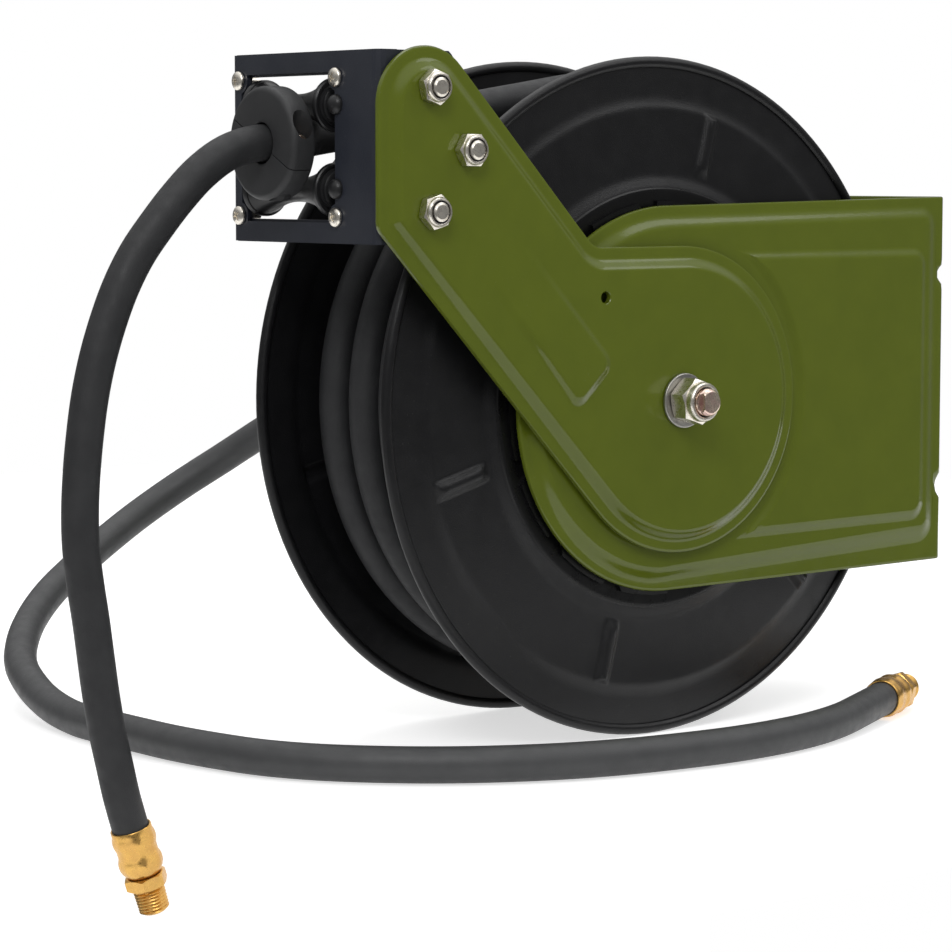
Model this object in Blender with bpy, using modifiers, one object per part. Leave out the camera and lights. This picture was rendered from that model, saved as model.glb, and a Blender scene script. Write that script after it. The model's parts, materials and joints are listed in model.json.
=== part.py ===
"""Retractable air hose reel: a sprung steel spool on a U bracket, with a roller guide on an arm.

Everything is placed from the axle: +Y runs along it to the inlet side, -X is where the hose
comes out, +Z is up. The axle's empty then puts the wall face of the bracket at the origin.
"""

import math

import bmesh
import bpy
from mathutils import Euler, Matrix, Vector

MM = 0.001

# Clearances
GAP = 0.3 * MM  # between pieces that touch
RUN_GAP = 0.3 * MM  # round a shaft or pin that turns

# Spool
FLANGE_RADIUS = 150 * MM
RIM_SPAN = 90 * MM  # between the middles of the two rolled rims
RIM_BEAD = 2.5 * MM  # radius of the rolled rim
SHEET = 1.5 * MM  # flange and drum steel
DRUM_RADIUS = 88 * MM
DRUM_LIP = 12 * MM
STEP_RADIUS = 128 * MM  # outer ring step of the flange
FLAT_RADIUS = 99 * MM  # inner edge of the ribbed ring
BOSS_RADIUS = 91 * MM
STEP_RISE = 3.4 * MM
BOSS_RISE = 5.0 * MM
RIB_COUNT = 6
RIB_FIRST_ANGLE = math.radians(15.5)
RIB_HEIGHT = 1.5 * MM
RIB_WIDTH = 6 * MM
SPOOL_STEPS = 36

# Hose
HOSE_RADIUS = 7.7 * MM
LAYER_RADIUS = 120.5 * MM  # middle of the outer layer's turns
LEAD_RADIUS = 136.7 * MM  # middle of the hose where it lifts off the spool
TURN_PITCH = 21.5 * MM
FAR_LANE = 26.5 * MM
WINDING_START = math.radians(250)
LEAD_Y = -12 * MM  # where the hose lifts off
GROOVE_LANE = -36 * MM  # where the lead goes down beside the near flange
GROOVE_WALL = -27.5 * MM
GROOVE_RADIUS = 104 * MM
POINTS_PER_TURN = 24
LEAD_STEP = 8  # degrees between the lead's points on the spool
FERRULE_GRIP = 15.9 * MM  # length of hose inside a ferrule
FITTING_REACH = 22.3 * MM  # from the hose's end to the fitting's tip

# Shaft and what is on it
SHAFT_RADIUS = 8 * MM
THREAD_RADIUS = 6 * MM
SHAFT_NEAR_END = -84 * MM
SHAFT_FAR_END = 78 * MM
PORT_Y = 32 * MM
PORT_ANGLE = math.radians(60)

# Bracket
WALL_X = 175 * MM  # rear face of the bracket, from the axle
BRACKET_RADIUS = 85 * MM
BRACKET_HALF_HEIGHT = 88 * MM  # at the wall; the ears narrow towards the axle
BRACKET_SHEET = 2.5 * MM
BRACKET_INNER = 53 * MM  # inner face of each ear
EMBOSS_RADIUS = 79 * MM  # of the ears' raised field, round its front end
EMBOSS_END = 166 * MM  # where the field stops before the fold
EMBOSS_RISE = 2.2 * MM
PANEL_RADIUS = 77 * MM  # of the curved front edge of the second, higher panel
PANEL_END = 160 * MM
PANEL_HALF_HEIGHT = 65 * MM
PANEL_RISE = 1 * MM
PRESS_SLOPE = 6 * MM  # width of the slopes round both
MOUNT_SLOT_Y = 30 * MM
MOUNT_SLOT_Z = 55 * MM
LOCK_RADIUS = 64 * MM  # holes that hold the arm at its angle
LOCK_ANGLE = math.radians(65)
LOCK_STEP = math.radians(23)

# Guide arm
ARM_SHEET = 3 * MM
ARM_INNER = 59 * MM
ARM_RISE = 3 * MM
ARM_BORDER = 5 * MM
ARM_SLOPE = 3 * MM
ARM_CORNER = 8 * MM
ARM_LEAN = math.radians(43.8)  # of the lines square to its sloping edges
ARM_END_X = 3 * MM
ARM_END_RADIUS = 67.5 * MM
ARM_LEFT = -163.6 * MM
ARM_TOP_CENTRE = (-139 * MM, 126.5 * MM)
ARM_TOP_RADIUS = 24.6 * MM
GUIDE_BOLTS = ((-139 * MM, 134 * MM), (-120 * MM, 108.6 * MM), (-139 * MM, 83.4 * MM))

# Hose guide
GUIDE_X = -161 * MM  # front face of the guide plate
GUIDE_Y = 5.5 * MM
GUIDE_Z = 109.7 * MM
GUIDE_SHEET = 2 * MM
GUIDE_HALF_HEIGHT = 39.5 * MM
GUIDE_FAR_EDGE = 46 * MM
WINDOW_HALF = (33.8 * MM, 31 * MM)
SCREW_HALF = (35 * MM, 28.7 * MM)
SCREW_RADIUS = 1.6 * MM
ROLLER_X = -154.5 * MM
ROLLER_SPREAD = 35.2 * MM
ROLLER_RADIUS = 11.4 * MM
ROLLER_WAIST = 5 * MM
ROLLER_LENGTH = 54 * MM
HUB_LENGTH = 63 * MM
PIN_RADIUS = 2.5 * MM
STOPPER_RADIUS = 23.8 * MM
STOPPER_LENGTH = 12 * MM
STOPPER_BACK = -166 * MM  # just clear of the rollers' ends
STOPPER_Y = 1 * MM
STOPPER_Z = 111.5 * MM
STOPPER_SPLIT = math.radians(28)

# Ratchet
TEETH = 14
RATCHET_RADIUS = 87 * MM
RATCHET_DEPTH = 4 * MM
RATCHET_SHEET = 1.5 * MM
RATCHET_PHASE = math.radians(-2.8)
PAWL_RADIUS = 112 * MM  # of its pivot, from the axle
PAWL_ANGLE = math.radians(24)
PAWL_TIP_ANGLE = math.radians(43.5)

# Worked out
RIM_Y = RIM_SPAN / 2
BOSS_OUTER = RIM_Y + BOSS_RISE
BOSS_INNER = BOSS_OUTER - SHEET
BRACKET_OUTER = BRACKET_INNER + BRACKET_SHEET
EMBOSS_OUTER = BRACKET_OUTER + EMBOSS_RISE
ARM_OUTER = ARM_INNER + ARM_SHEET
ARM_PLATEAU = ARM_OUTER + ARM_RISE
ARM_POCKET = ARM_INNER + ARM_RISE
GUIDE_FLANGE = ARM_INNER - 1.1 * MM  # outer face of the guide plate's side flange

ALONG_Y = (-math.pi / 2, 0, 0)  # local +Z becomes +Y
FACING_NEAR = (math.pi / 2, 0, 0)  # local x, y become x, z and local +Z becomes -Y
FACING_FAR = (-math.pi / 2, 0, 0)  # local x, y become x, -z and local +Z becomes +Y
FACING_WALL = (math.pi / 2, 0, math.pi / 2)  # local x, y become y, z and local +Z becomes +X
FACING_OUT = (0, -math.pi / 2, 0)  # local +Z becomes -X

COLOURS = {
    "green_paint": ((0.085, 0.118, 0.014, 1), 0.25, 0.0),
    "black_paint": ((0.012, 0.012, 0.013, 1), 0.45, 0.0),
    "graphite_paint": ((0.028, 0.031, 0.04, 1), 0.4, 0.0),
    "hose_rubber": ((0.022, 0.022, 0.023, 1), 0.6, 0.0),
    "black_rubber": ((0.02, 0.02, 0.02, 1), 0.65, 0.0),
    "zinc": ((0.62, 0.6, 0.56, 1), 0.28, 1.0),
    "brass": ((0.72, 0.42, 0.14, 1), 0.25, 1.0),
    "spring_steel": ((0.2, 0.2, 0.22, 1), 0.35, 1.0),
    "nylon": ((0.7, 0.7, 0.66, 1), 0.5, 0.0),
    "black_nylon": ((0.012, 0.012, 0.012, 1), 0.35, 0.0),
}


def clear_scene():
    for obj in list(bpy.data.objects):
        bpy.data.objects.remove(obj, do_unlink=True)


def new_collection(name):
    collection = bpy.data.collections.new(name)
    bpy.context.scene.collection.children.link(collection)
    return collection


def material(name):
    found = bpy.data.materials.get(name)
    if found:
        return found
    colour, roughness, metallic = COLOURS[name]
    made = bpy.data.materials.new(name)
    made.use_nodes = True
    shader = made.node_tree.nodes["Principled BSDF"]
    shader.inputs["Base Color"].default_value = colour
    shader.inputs["Roughness"].default_value = roughness
    shader.inputs["Metallic"].default_value = metallic
    return made


clear_scene()
PARTS = new_collection("air_hose_reel")
CUTTERS = new_collection("cutters")
CUTTERS.hide_render = True
AXLE = bpy.data.objects.new("axle_centre", None)
AXLE.location = (-WALL_X, 0, 0)
PARTS.objects.link(AXLE)


def add(name, data, finish, location=(0, 0, 0), rotation=(0, 0, 0)):
    """A part of the reel, placed from the axle's centre."""
    obj = bpy.data.objects.new(name, data)
    obj.location = location
    obj.rotation_euler = rotation
    obj.parent = AXLE
    if finish is None:
        CUTTERS.objects.link(obj)
        obj.hide_render = True
        obj.display_type = "WIRE"
    else:
        PARTS.objects.link(obj)
        data.materials.append(material(finish))
    return obj


def baked(obj):
    """The object with its modifiers, or its curve, turned into one welded mesh."""
    bpy.context.view_layer.update()
    seen = obj.evaluated_get(bpy.context.evaluated_depsgraph_get())
    mesh = bpy.data.meshes.new_from_object(seen)
    body = bmesh.new()
    body.from_mesh(mesh)
    bmesh.ops.remove_doubles(body, verts=body.verts, dist=0.00001)
    body.to_mesh(mesh)
    body.free()
    made = bpy.data.objects.new(obj.name, mesh)
    for collection in obj.users_collection:
        collection.objects.link(made)
    made.parent = AXLE
    made.location = obj.location
    made.rotation_euler = obj.rotation_euler
    made.hide_render = obj.hide_render
    made.display_type = obj.display_type
    name = obj.name
    bpy.data.objects.remove(obj, do_unlink=True)
    made.name = name
    return made


def combine(obj, others, operation):
    """Adds a Boolean modifier for each of the other objects, which become guides."""
    for other in others:
        if other.name in PARTS.objects:
            PARTS.objects.unlink(other)
            CUTTERS.objects.link(other)
        other.hide_render = True
        other.display_type = "WIRE"
        modifier = obj.modifiers.new(other.name, "BOOLEAN")
        modifier.operation = operation
        modifier.object = other
        modifier.solver = "EXACT"
    return obj


def cut(obj, *others):
    return combine(obj, others, "DIFFERENCE")


def fuse(obj, *others):
    return combine(obj, others, "UNION")


def arc(centre, radius, start, end, steps):
    """Points on an arc, by angles from +X towards the second axis."""
    points = []
    for i in range(steps + 1):
        angle = start + (end - start) * i / steps
        points.append((centre[0] + radius * math.cos(angle), centre[1] + radius * math.sin(angle)))
    return points


def rounded(corners, steps=4):
    """An outline whose corners (a, b, radius) are rounded off by arcs."""
    points = []
    for i, (a, b, radius) in enumerate(corners):
        here = Vector((a, b))
        before = (Vector(corners[i - 1][:2]) - here).normalized()
        after = (Vector(corners[(i + 1) % len(corners)][:2]) - here).normalized()
        if radius == 0:
            points.append((a, b))
            continue
        half = before.angle(after) / 2
        centre = here + (before + after).normalized() * radius / math.sin(half)
        first = here + before * radius / math.tan(half) - centre
        turn = math.pi - 2 * half
        if before.x * after.y - before.y * after.x > 0:
            turn = -turn
        start = math.atan2(first.y, first.x)
        points += arc(centre, radius, start, start + turn, steps)
    return points


def rectangle(low, high, radius=0.0, steps=3):
    (a0, b0), (a1, b1) = low, high
    return rounded([(a0, b0, radius), (a1, b0, radius), (a1, b1, radius), (a0, b1, radius)], steps)


def circle(centre, radius, steps=24):
    return arc(centre, radius, 0, 2 * math.pi, steps)[:-1]


def inset(outline, distance):
    """The outline moved inwards; it runs anticlockwise."""
    points = []
    for i, point in enumerate(outline):
        here = Vector(point)
        along_in = (here - Vector(outline[i - 1])).normalized()
        along_out = (Vector(outline[(i + 1) % len(outline)]) - here).normalized()
        normal_in = Vector((-along_in.y, along_in.x))
        normal_out = Vector((-along_out.y, along_out.x))
        middle = (normal_in + normal_out).normalized()
        points.append(tuple(here + middle * distance / middle.dot(normal_in)))
    return points


def flat(name, outline, low, high, finish, holes=(), rotation=FACING_NEAR, place=(0, 0, 0)):
    """A flat piece: a closed outline filled and given a thickness from low to high."""
    curve = bpy.data.curves.new(name, "CURVE")
    curve.dimensions = "2D"
    curve.fill_mode = "BOTH"
    curve.extrude = (high - low) / 2
    for loop in (outline, *holes):
        spline = curve.splines.new("POLY")
        spline.points.add(len(loop) - 1)
        for point, (a, b) in zip(spline.points, loop):
            point.co = (a, b, 0, 1)
        spline.use_cyclic_u = True
    shift = Euler(rotation).to_matrix() @ Vector((0, 0, (low + high) / 2))
    return add(name, curve, finish, tuple(Vector(place) + shift), rotation)


def drafted(name, outline, low, upper, high, rotation=FACING_NEAR):
    """A raised pad between an outline at low and another, with as many points, at high."""
    body = bmesh.new()
    bottom = [body.verts.new((a, b, low)) for a, b in outline]
    top = [body.verts.new((a, b, high)) for a, b in upper]
    body.faces.new(reversed(bottom))
    body.faces.new(top)
    for i in range(len(outline)):
        j = (i + 1) % len(outline)
        body.faces.new((bottom[i], bottom[j], top[j], top[i]))
    mesh = bpy.data.meshes.new(name)
    body.to_mesh(mesh)
    body.free()
    return add(name, mesh, None, rotation=rotation)


def turned(name, profile, finish, place=(0, 0, 0), rotation=ALONG_Y, steps=20):
    """A turned piece: its profile of (radius, height) points goes once round the local Z axis."""
    area = 0.0
    for (r0, h0), (r1, h1) in zip(profile, profile[1:] + profile[:1]):
        area += r0 * h1 - r1 * h0
    if area > 0:
        profile = profile[::-1]
    mesh = bpy.data.meshes.new(name)
    edges = [(i, i + 1) for i in range(len(profile) - 1)]
    on_axis = min(profile)[0] < 1e-6
    if on_axis:
        first = next(i for i in range(len(profile)) if profile[i][0] < 1e-6 and profile[i - 1][0] < 1e-6)
        profile = profile[first:] + profile[:first]
    else:
        edges.append((len(profile) - 1, 0))
    mesh.from_pydata([(r, 0, h) for r, h in profile], edges, [])
    obj = add(name, mesh, finish, place, rotation)
    screw = obj.modifiers.new("turn", "SCREW")
    screw.steps = steps
    screw.render_steps = steps
    screw.merge_threshold = 0.00001
    screw.use_merge_vertices = True
    return obj


def ring(name, inner, outer, low, high, finish, place=(0, 0, 0), steps=20, edge=0.0, rotation=ALONG_Y):
    """A washer, bush or tube, with its outer edges broken by edge."""
    profile = [(inner, high), (outer - edge, high), (outer, high - edge)]
    profile += [(outer, low + edge), (outer - edge, low), (inner, low)]
    if edge == 0.0:
        profile = [(inner, high), (outer, high), (outer, low), (inner, low)]
    return turned(name, profile, finish, place, rotation, steps)


def rod(name, radius, low, high, finish, place=(0, 0, 0), steps=14, edge=0.0, rotation=ALONG_Y):
    """A solid round bar along the local Z axis, with its edges broken by edge."""
    profile = [(0, high), (radius - edge, high), (radius, high - edge)]
    profile += [(radius, low + edge), (radius - edge, low), (0, low)]
    if edge == 0.0:
        profile = [(0, high), (radius, high), (radius, low), (0, low)]
    return turned(name, profile, finish, place, rotation, steps)


def hexagon(name, across_flats, low, high, finish, place=(0, 0, 0), rotation=ALONG_Y, turn=0.0):
    """A six-sided prism along the local Z axis."""
    body = bmesh.new()
    radius = across_flats / math.sqrt(3)
    middle = Matrix.Translation((0, 0, (low + high) / 2)) @ Matrix.Rotation(turn, 4, "Z")
    bmesh.ops.create_cone(
        body, cap_ends=True, segments=6, radius1=radius, radius2=radius, depth=high - low, matrix=middle
    )
    mesh = bpy.data.meshes.new(name)
    body.to_mesh(mesh)
    body.free()
    return add(name, mesh, finish, place, rotation)


def block(name, low, high, finish, rotation=(0, 0, 0), place=(0, 0, 0), soften=0.0):
    """A box between two corners."""
    body = bmesh.new()
    size = Vector(high) - Vector(low)
    centre = (Vector(high) + Vector(low)) / 2
    bmesh.ops.create_cube(body, size=1, matrix=Matrix.Translation(centre) @ Matrix.Diagonal((*size, 1)))
    mesh = bpy.data.meshes.new(name)
    body.to_mesh(mesh)
    body.free()
    obj = add(name, mesh, finish, place, rotation)
    if soften:
        bevel = obj.modifiers.new("soften", "BEVEL")
        bevel.width = soften
        bevel.segments = 1
    return obj


def copies(name, obj, places):
    """A numbered copy of the object at each place."""
    source = baked(obj)
    made = []
    for i, place in enumerate(places):
        mesh = source.data.copy()
        copy = bpy.data.objects.new(f"{name}_{i + 1}", mesh)
        copy.parent = AXLE
        copy.location = place
        copy.rotation_euler = source.rotation_euler
        PARTS.objects.link(copy)
        made.append(copy)
    bpy.data.objects.remove(source, do_unlink=True)
    return made


def smooth_route(knots, spacing):
    """Points at even steps along a smooth curve through the knots."""
    knots = [Vector(k) for k in knots]
    ends = [2 * knots[0] - knots[1]] + knots + [2 * knots[-1] - knots[-2]]
    dense = []
    for p0, p1, p2, p3 in zip(ends, ends[1:], ends[2:], ends[3:]):
        t1 = (p1 - p0).length ** 0.5
        t2 = t1 + (p2 - p1).length ** 0.5
        t3 = t2 + (p3 - p2).length ** 0.5
        for k in range(20):
            t = t1 + (t2 - t1) * k / 20
            a1 = p0 * (t1 - t) / t1 + p1 * t / t1
            a2 = p1 * (t2 - t) / (t2 - t1) + p2 * (t - t1) / (t2 - t1)
            a3 = p2 * (t3 - t) / (t3 - t2) + p3 * (t - t2) / (t3 - t2)
            b1 = a1 * (t2 - t) / t2 + a2 * t / t2
            b2 = a2 * (t3 - t) / (t3 - t1) + a3 * (t - t1) / (t3 - t1)
            dense.append(b1 * (t2 - t) / (t2 - t1) + b2 * (t - t1) / (t2 - t1))
    dense.append(knots[-1])
    length = sum((b - a).length for a, b in zip(dense, dense[1:]))
    count = max(2, round(length / spacing))
    points = [dense[0]]
    walked = 0.0
    for a, b in zip(dense, dense[1:]):
        step = (b - a).length
        while len(points) < count and walked + step >= length * len(points) / count:
            points.append(a.lerp(b, (length * len(points) / count - walked) / step))
        walked += step
    points.append(dense[-1])
    return points


def hose(name, points, radius, finish, resolution=2):
    """A round hose along the points, closed at both ends."""
    curve = bpy.data.curves.new(name, "CURVE")
    curve.dimensions = "3D"
    curve.bevel_depth = radius
    curve.bevel_resolution = resolution
    curve.use_fill_caps = True
    spline = curve.splines.new("POLY")
    spline.points.add(len(points) - 1)
    for point, place in zip(spline.points, points):
        point.co = (*place, 1)
    return add(name, curve, finish)


def on_circle(radius, angle, y=0.0):
    return Vector((radius * math.cos(angle), y, radius * math.sin(angle)))


def flange_profile(side):
    """Section of a pressed flange with its rolled rim: side is -1 near, +1 far."""
    outer = [
        (FLANGE_RADIUS - 2 * RIM_BEAD, 0.9 * MM),
        (STEP_RADIUS + 4 * MM, 2.2 * MM),
        (STEP_RADIUS, STEP_RISE),
        (FLAT_RADIUS, STEP_RISE),
        (BOSS_RADIUS, BOSS_RISE),
    ]
    bead_centre = FLANGE_RADIUS - RIM_BEAD
    bead = arc((bead_centre, 0.0), RIM_BEAD, math.radians(-120), math.radians(120), 5)
    inner = [(r, rise - SHEET) for r, rise in outer]
    hub = SHAFT_RADIUS + (4.5 if side < 0 else 8.5) * MM
    profile = bead + outer + [(hub, BOSS_RISE), (hub, BOSS_RISE - SHEET)] + inner[::-1]
    return [(r, side * (RIM_Y + rise)) for r, rise in profile]


def build_flange(name, side):
    flange = baked(turned(name, flange_profile(side), "black_paint", steps=SPOOL_STEPS))
    half = RIB_WIDTH / 2
    foot = RIM_Y + STEP_RISE - SHEET / 2
    crest = RIM_Y + STEP_RISE + RIB_HEIGHT
    start, end = FLAT_RADIUS + 1 * MM, STEP_RADIUS - 2 * MM
    base = [(start, -half), (end, -half), (end, half), (start, half)]
    top = [(start + 3 * MM, -half / 4), (end - 3 * MM, -half / 4), (end - 3 * MM, half / 4)]
    top.append((start + 3 * MM, half / 4))
    facing = FACING_NEAR if side < 0 else FACING_FAR
    ribs = []
    for i in range(RIB_COUNT):
        angle = RIB_FIRST_ANGLE + 2 * math.pi * i / RIB_COUNT
        if side > 0:
            angle = -angle
        c, s = math.cos(angle), math.sin(angle)
        outlines = [[(a * c - b * s, a * s + b * c) for a, b in outline] for outline in (base, top)]
        ribs.append(drafted(f"{name}_rib_{i}", outlines[0], foot, outlines[1], crest, facing))
    return baked(fuse(flange, *ribs))


def build_spool():
    build_flange("near_flange", -1)
    build_flange("far_flange", 1)
    lip = BOSS_INNER - GAP
    outside = DRUM_RADIUS
    inside = DRUM_RADIUS - SHEET
    lip_edge = DRUM_RADIUS - DRUM_LIP
    section = [(outside, lip), (outside, -lip), (lip_edge, -lip), (lip_edge, -lip + SHEET)]
    section += [(inside, -lip + SHEET), (inside, lip - SHEET), (lip_edge, lip - SHEET), (lip_edge, lip)]
    drum = baked(turned("drum", section, "black_paint", steps=28))

    # Inner layers of hose, with the lane beside the near flange where the lead goes down
    core_outer = LAYER_RADIUS * math.cos(math.pi / POINTS_PER_TURN) - HOSE_RADIUS - GAP
    core_half = RIM_Y + STEP_RISE - SHEET - 2 * GAP
    core_inner = DRUM_RADIUS + GAP
    groove = GROOVE_RADIUS * math.cos(math.radians(LEAD_STEP / 2)) - HOSE_RADIUS - GAP
    section = [(core_inner, core_half), (core_outer, core_half), (core_outer, GROOVE_WALL)]
    section += [(groove, GROOVE_WALL), (groove, -core_half), (core_inner, -core_half)]
    core = baked(turned("hose_core", section, "hose_rubber", steps=40))
    pockets = [baked(hose(f"dive_{i}", path, HOSE_RADIUS + 3 * GAP, None, 2)) for i, path in enumerate(build_winding())]
    cut(core, *pockets)
    build_lead()

    # Neck that feeds the hose through the drum wall
    lean = (Matrix.Rotation(-PORT_ANGLE, 4, "Y") @ Matrix.Rotation(math.pi / 2, 4, "Y")).to_euler()
    at_port = (0, PORT_Y, 0)
    neck = 6 * MM
    foot = 18 * MM + GAP
    tip = DRUM_RADIUS - 0.2 * MM
    section = [(3.5 * MM, foot), (8 * MM, foot), (8 * MM, 27 * MM), (neck, 27 * MM), (neck, tip), (3.5 * MM, tip)]
    turned("hose_neck", section, "brass", at_port, lean, 16)
    cut(drum, baked(rod("neck_hole", neck + GAP, 40 * MM, 110 * MM, None, at_port, 16, rotation=lean)))

    # Swivel body that turns on the hollow shaft and carries the far flange
    bush = SHAFT_RADIUS + RUN_GAP
    seal_groove = bush + 1.6 * MM
    hub = SHAFT_RADIUS + 8.5 * MM - GAP
    section = [
        (bush, 22 * MM),
        (18 * MM, 22 * MM),
        (18 * MM, 42 * MM),
        (23 * MM, 42 * MM),
        (23 * MM, BOSS_INNER - GAP),
        (hub, BOSS_INNER - GAP),
        (hub, BRACKET_INNER - 1 * MM),
        (bush, BRACKET_INNER - 1 * MM),
    ]
    for y in (39 * MM, 27 * MM):
        section += [(bush, y), (seal_groove, y), (seal_groove, y - 2 * MM), (bush, y - 2 * MM)]
    swivel = baked(turned("swivel_body", section, "brass", steps=14))
    cut(swivel, baked(rod("swivel_port", 3.5 * MM, 4 * MM, 30 * MM, None, at_port, 12, rotation=lean)))
    seal = ring("seal", bush + 0.2 * MM, bush + 1.3 * MM, -0.7 * MM, 0.7 * MM, "black_rubber", steps=14)
    copies("swivel_seal", seal, [Vector((0, 26 * MM, 0)), Vector((0, 38 * MM, 0))])

    # Near bush
    hub = SHAFT_RADIUS + 4.5 * MM - GAP
    face = -BOSS_INNER + GAP
    section = [(bush, -BOSS_OUTER - 0.5 * MM), (hub, -BOSS_OUTER - 0.5 * MM), (hub, face)]
    section += [(hub + 4 * MM, face), (hub + 4 * MM, face + 2 * MM), (bush, face + 2 * MM)]
    turned("near_bush", section, "nylon")
    build_ratchet()
    build_spring()


def build_ratchet():
    """Pressed ring with saw teeth for the pawl, welded to the near boss."""
    low = BOSS_OUTER + GAP
    outline = []
    pitch = 2 * math.pi / TEETH
    root = RATCHET_RADIUS - RATCHET_DEPTH
    for i in range(TEETH):
        start = pitch * i + RATCHET_PHASE
        outline += arc((0, 0), RATCHET_RADIUS, start, start + pitch * 0.7, 3)
        outline += arc((0, 0), root, start + pitch * 0.7 + 0.01, start + pitch * 0.9, 1)
    inner = circle((0, 0), 62 * MM, 28)
    flat("ratchet_ring", outline, low, low + RATCHET_SHEET, "black_paint", (inner,))


def build_spring():
    """Spiral rewind spring between an arbor on the shaft and its case in the drum."""
    mouth = -BOSS_INNER + GAP
    floor = -26 * MM
    wall = 74 * MM
    sheet = 1.2 * MM
    section = [(wall, mouth), (wall, floor), (17 * MM, floor), (17 * MM, floor - sheet)]
    section += [(wall - sheet, floor - sheet), (wall - sheet, mouth)]
    turned("spring_case", section, "black_paint", steps=24)
    arbor = 14 * MM
    ring("spring_arbor", SHAFT_RADIUS + GAP, arbor, -45.4 * MM, -28 * MM, "spring_steel", steps=24)
    low, high = -45 * MM, -28.5 * MM
    strip = 1.2 * MM
    steps = 14
    count = 5 * steps
    inner = arbor + GAP + strip / 2 + 0.1 * MM
    outer = wall - sheet - GAP - strip / 2
    body = bmesh.new()
    previous = None
    for i in range(count + 1):
        angle = 2 * math.pi * i / steps
        radius = inner + (outer - inner) * i / count
        outside, inside = radius + strip / 2, radius - strip / 2
        section = []
        for r, y in ((outside, low), (outside, high), (inside, high), (inside, low)):
            section.append(body.verts.new(on_circle(r, angle, y)))
        if previous:
            for a in range(4):
                b = (a + 1) % 4
                body.faces.new((previous[a], previous[b], section[b], section[a]))
        else:
            body.faces.new(section)
        previous = section
    body.faces.new(reversed(previous))
    bmesh.ops.recalc_face_normals(body, faces=body.faces)
    mesh = bpy.data.meshes.new("rewind_spring")
    body.to_mesh(mesh)
    body.free()
    add("rewind_spring", mesh, "spring_steel")


def eased(t):
    """0 to 1 with level ends."""
    t = min(1.0, max(0.0, t))
    return (1 - math.cos(math.pi * t)) / 2


def self_gap(points):
    """Least distance between stretches of the hose that aren't neighbours, less its diameter."""
    dense = []
    for a, b in zip(points, points[1:]):
        dense += [a.lerp(b, k / 4) for k in range(4)]
    walked = [0.0]
    for a, b in zip(dense, dense[1:]):
        walked.append(walked[-1] + (b - a).length)
    least = 1.0
    for i, a in enumerate(dense):
        for j in range(i + 1, len(dense)):
            if walked[j] - walked[i] > 8 * HOSE_RADIUS:
                least = min(least, (dense[j] - a).length)
    return least - 2 * HOSE_RADIUS


def dive(points):
    """Straight, ever steeper steps from the last of the points down into the core."""
    heading = (points[-1] - points[-2]).normalized()
    here = points[-1]
    inwards = -Vector((here.x, 0, here.z)).normalized()
    path = []
    for degrees, length in ((8, 5), (24, 6), (40, 6), (50, 21)):
        tilt = math.radians(degrees)
        here = here + (heading * math.cos(tilt) + inwards * math.sin(tilt)) * length * MM
        path.append(here)
    return path


def build_winding():
    """The outer layer as one unbroken hose; gives back the two stretches that go into the core."""
    step = 2 * math.pi / POINTS_PER_TURN
    points = []
    for i in range(3 * POINTS_PER_TURN - 9):
        turned_by = step * i
        lane = FAR_LANE
        for crossing in (1, 2):
            lane -= TURN_PITCH * eased((math.degrees(turned_by) - 360 * crossing + 110) / 70)
        points.append(on_circle(LAYER_RADIUS, WINDING_START - turned_by, lane))
    start = dive(points[1::-1])
    end = dive(points)
    whole = start[::-1] + points + end
    print(f"winding: least gap to itself {self_gap(whole) / MM:.2f} mm")
    hose("hose_winding", whole, HOSE_RADIUS, "hose_rubber", 1)
    stretches = []
    for path in ([points[0]] + start, [points[-1]] + end):
        onwards = (path[-1] - path[-2]).normalized() * GAP
        stretches.append(path[:-1] + [path[-1] + onwards])
    return stretches


def build_lead():
    """Hose from the stopper between the rollers, over the spool and down beside the near flange."""
    aim = Vector((ROLLER_X, STOPPER_Y, STOPPER_Z + 1.8 * MM))
    reach = math.hypot(aim.x, aim.z)
    lift_off = math.atan2(aim.z, aim.x) - math.acos(LEAD_RADIUS / reach)
    tangent = on_circle(LEAD_RADIUS, lift_off, LEAD_Y)
    middle = STOPPER_BACK - STOPPER_LENGTH / 2
    points = [Vector((middle + GAP / 2, STOPPER_Y, STOPPER_Z)), Vector((-161 * MM, STOPPER_Y, STOPPER_Z))]
    points.append(Vector((-156.5 * MM, STOPPER_Y, STOPPER_Z + 0.6 * MM)))
    points += [aim.lerp(tangent, k / 6) for k in range(6)]
    for i in range(30):
        turned_by = LEAD_STEP * i
        lane = LEAD_Y + (GROOVE_LANE - LEAD_Y) * eased(turned_by / 60)
        radius = LEAD_RADIUS + (GROOVE_RADIUS - LEAD_RADIUS) * eased((turned_by - 54) / 114)
        points.append(on_circle(radius, lift_off - math.radians(turned_by), lane))
    hose("hose_lead", points, HOSE_RADIUS, "hose_rubber", 2)


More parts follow.
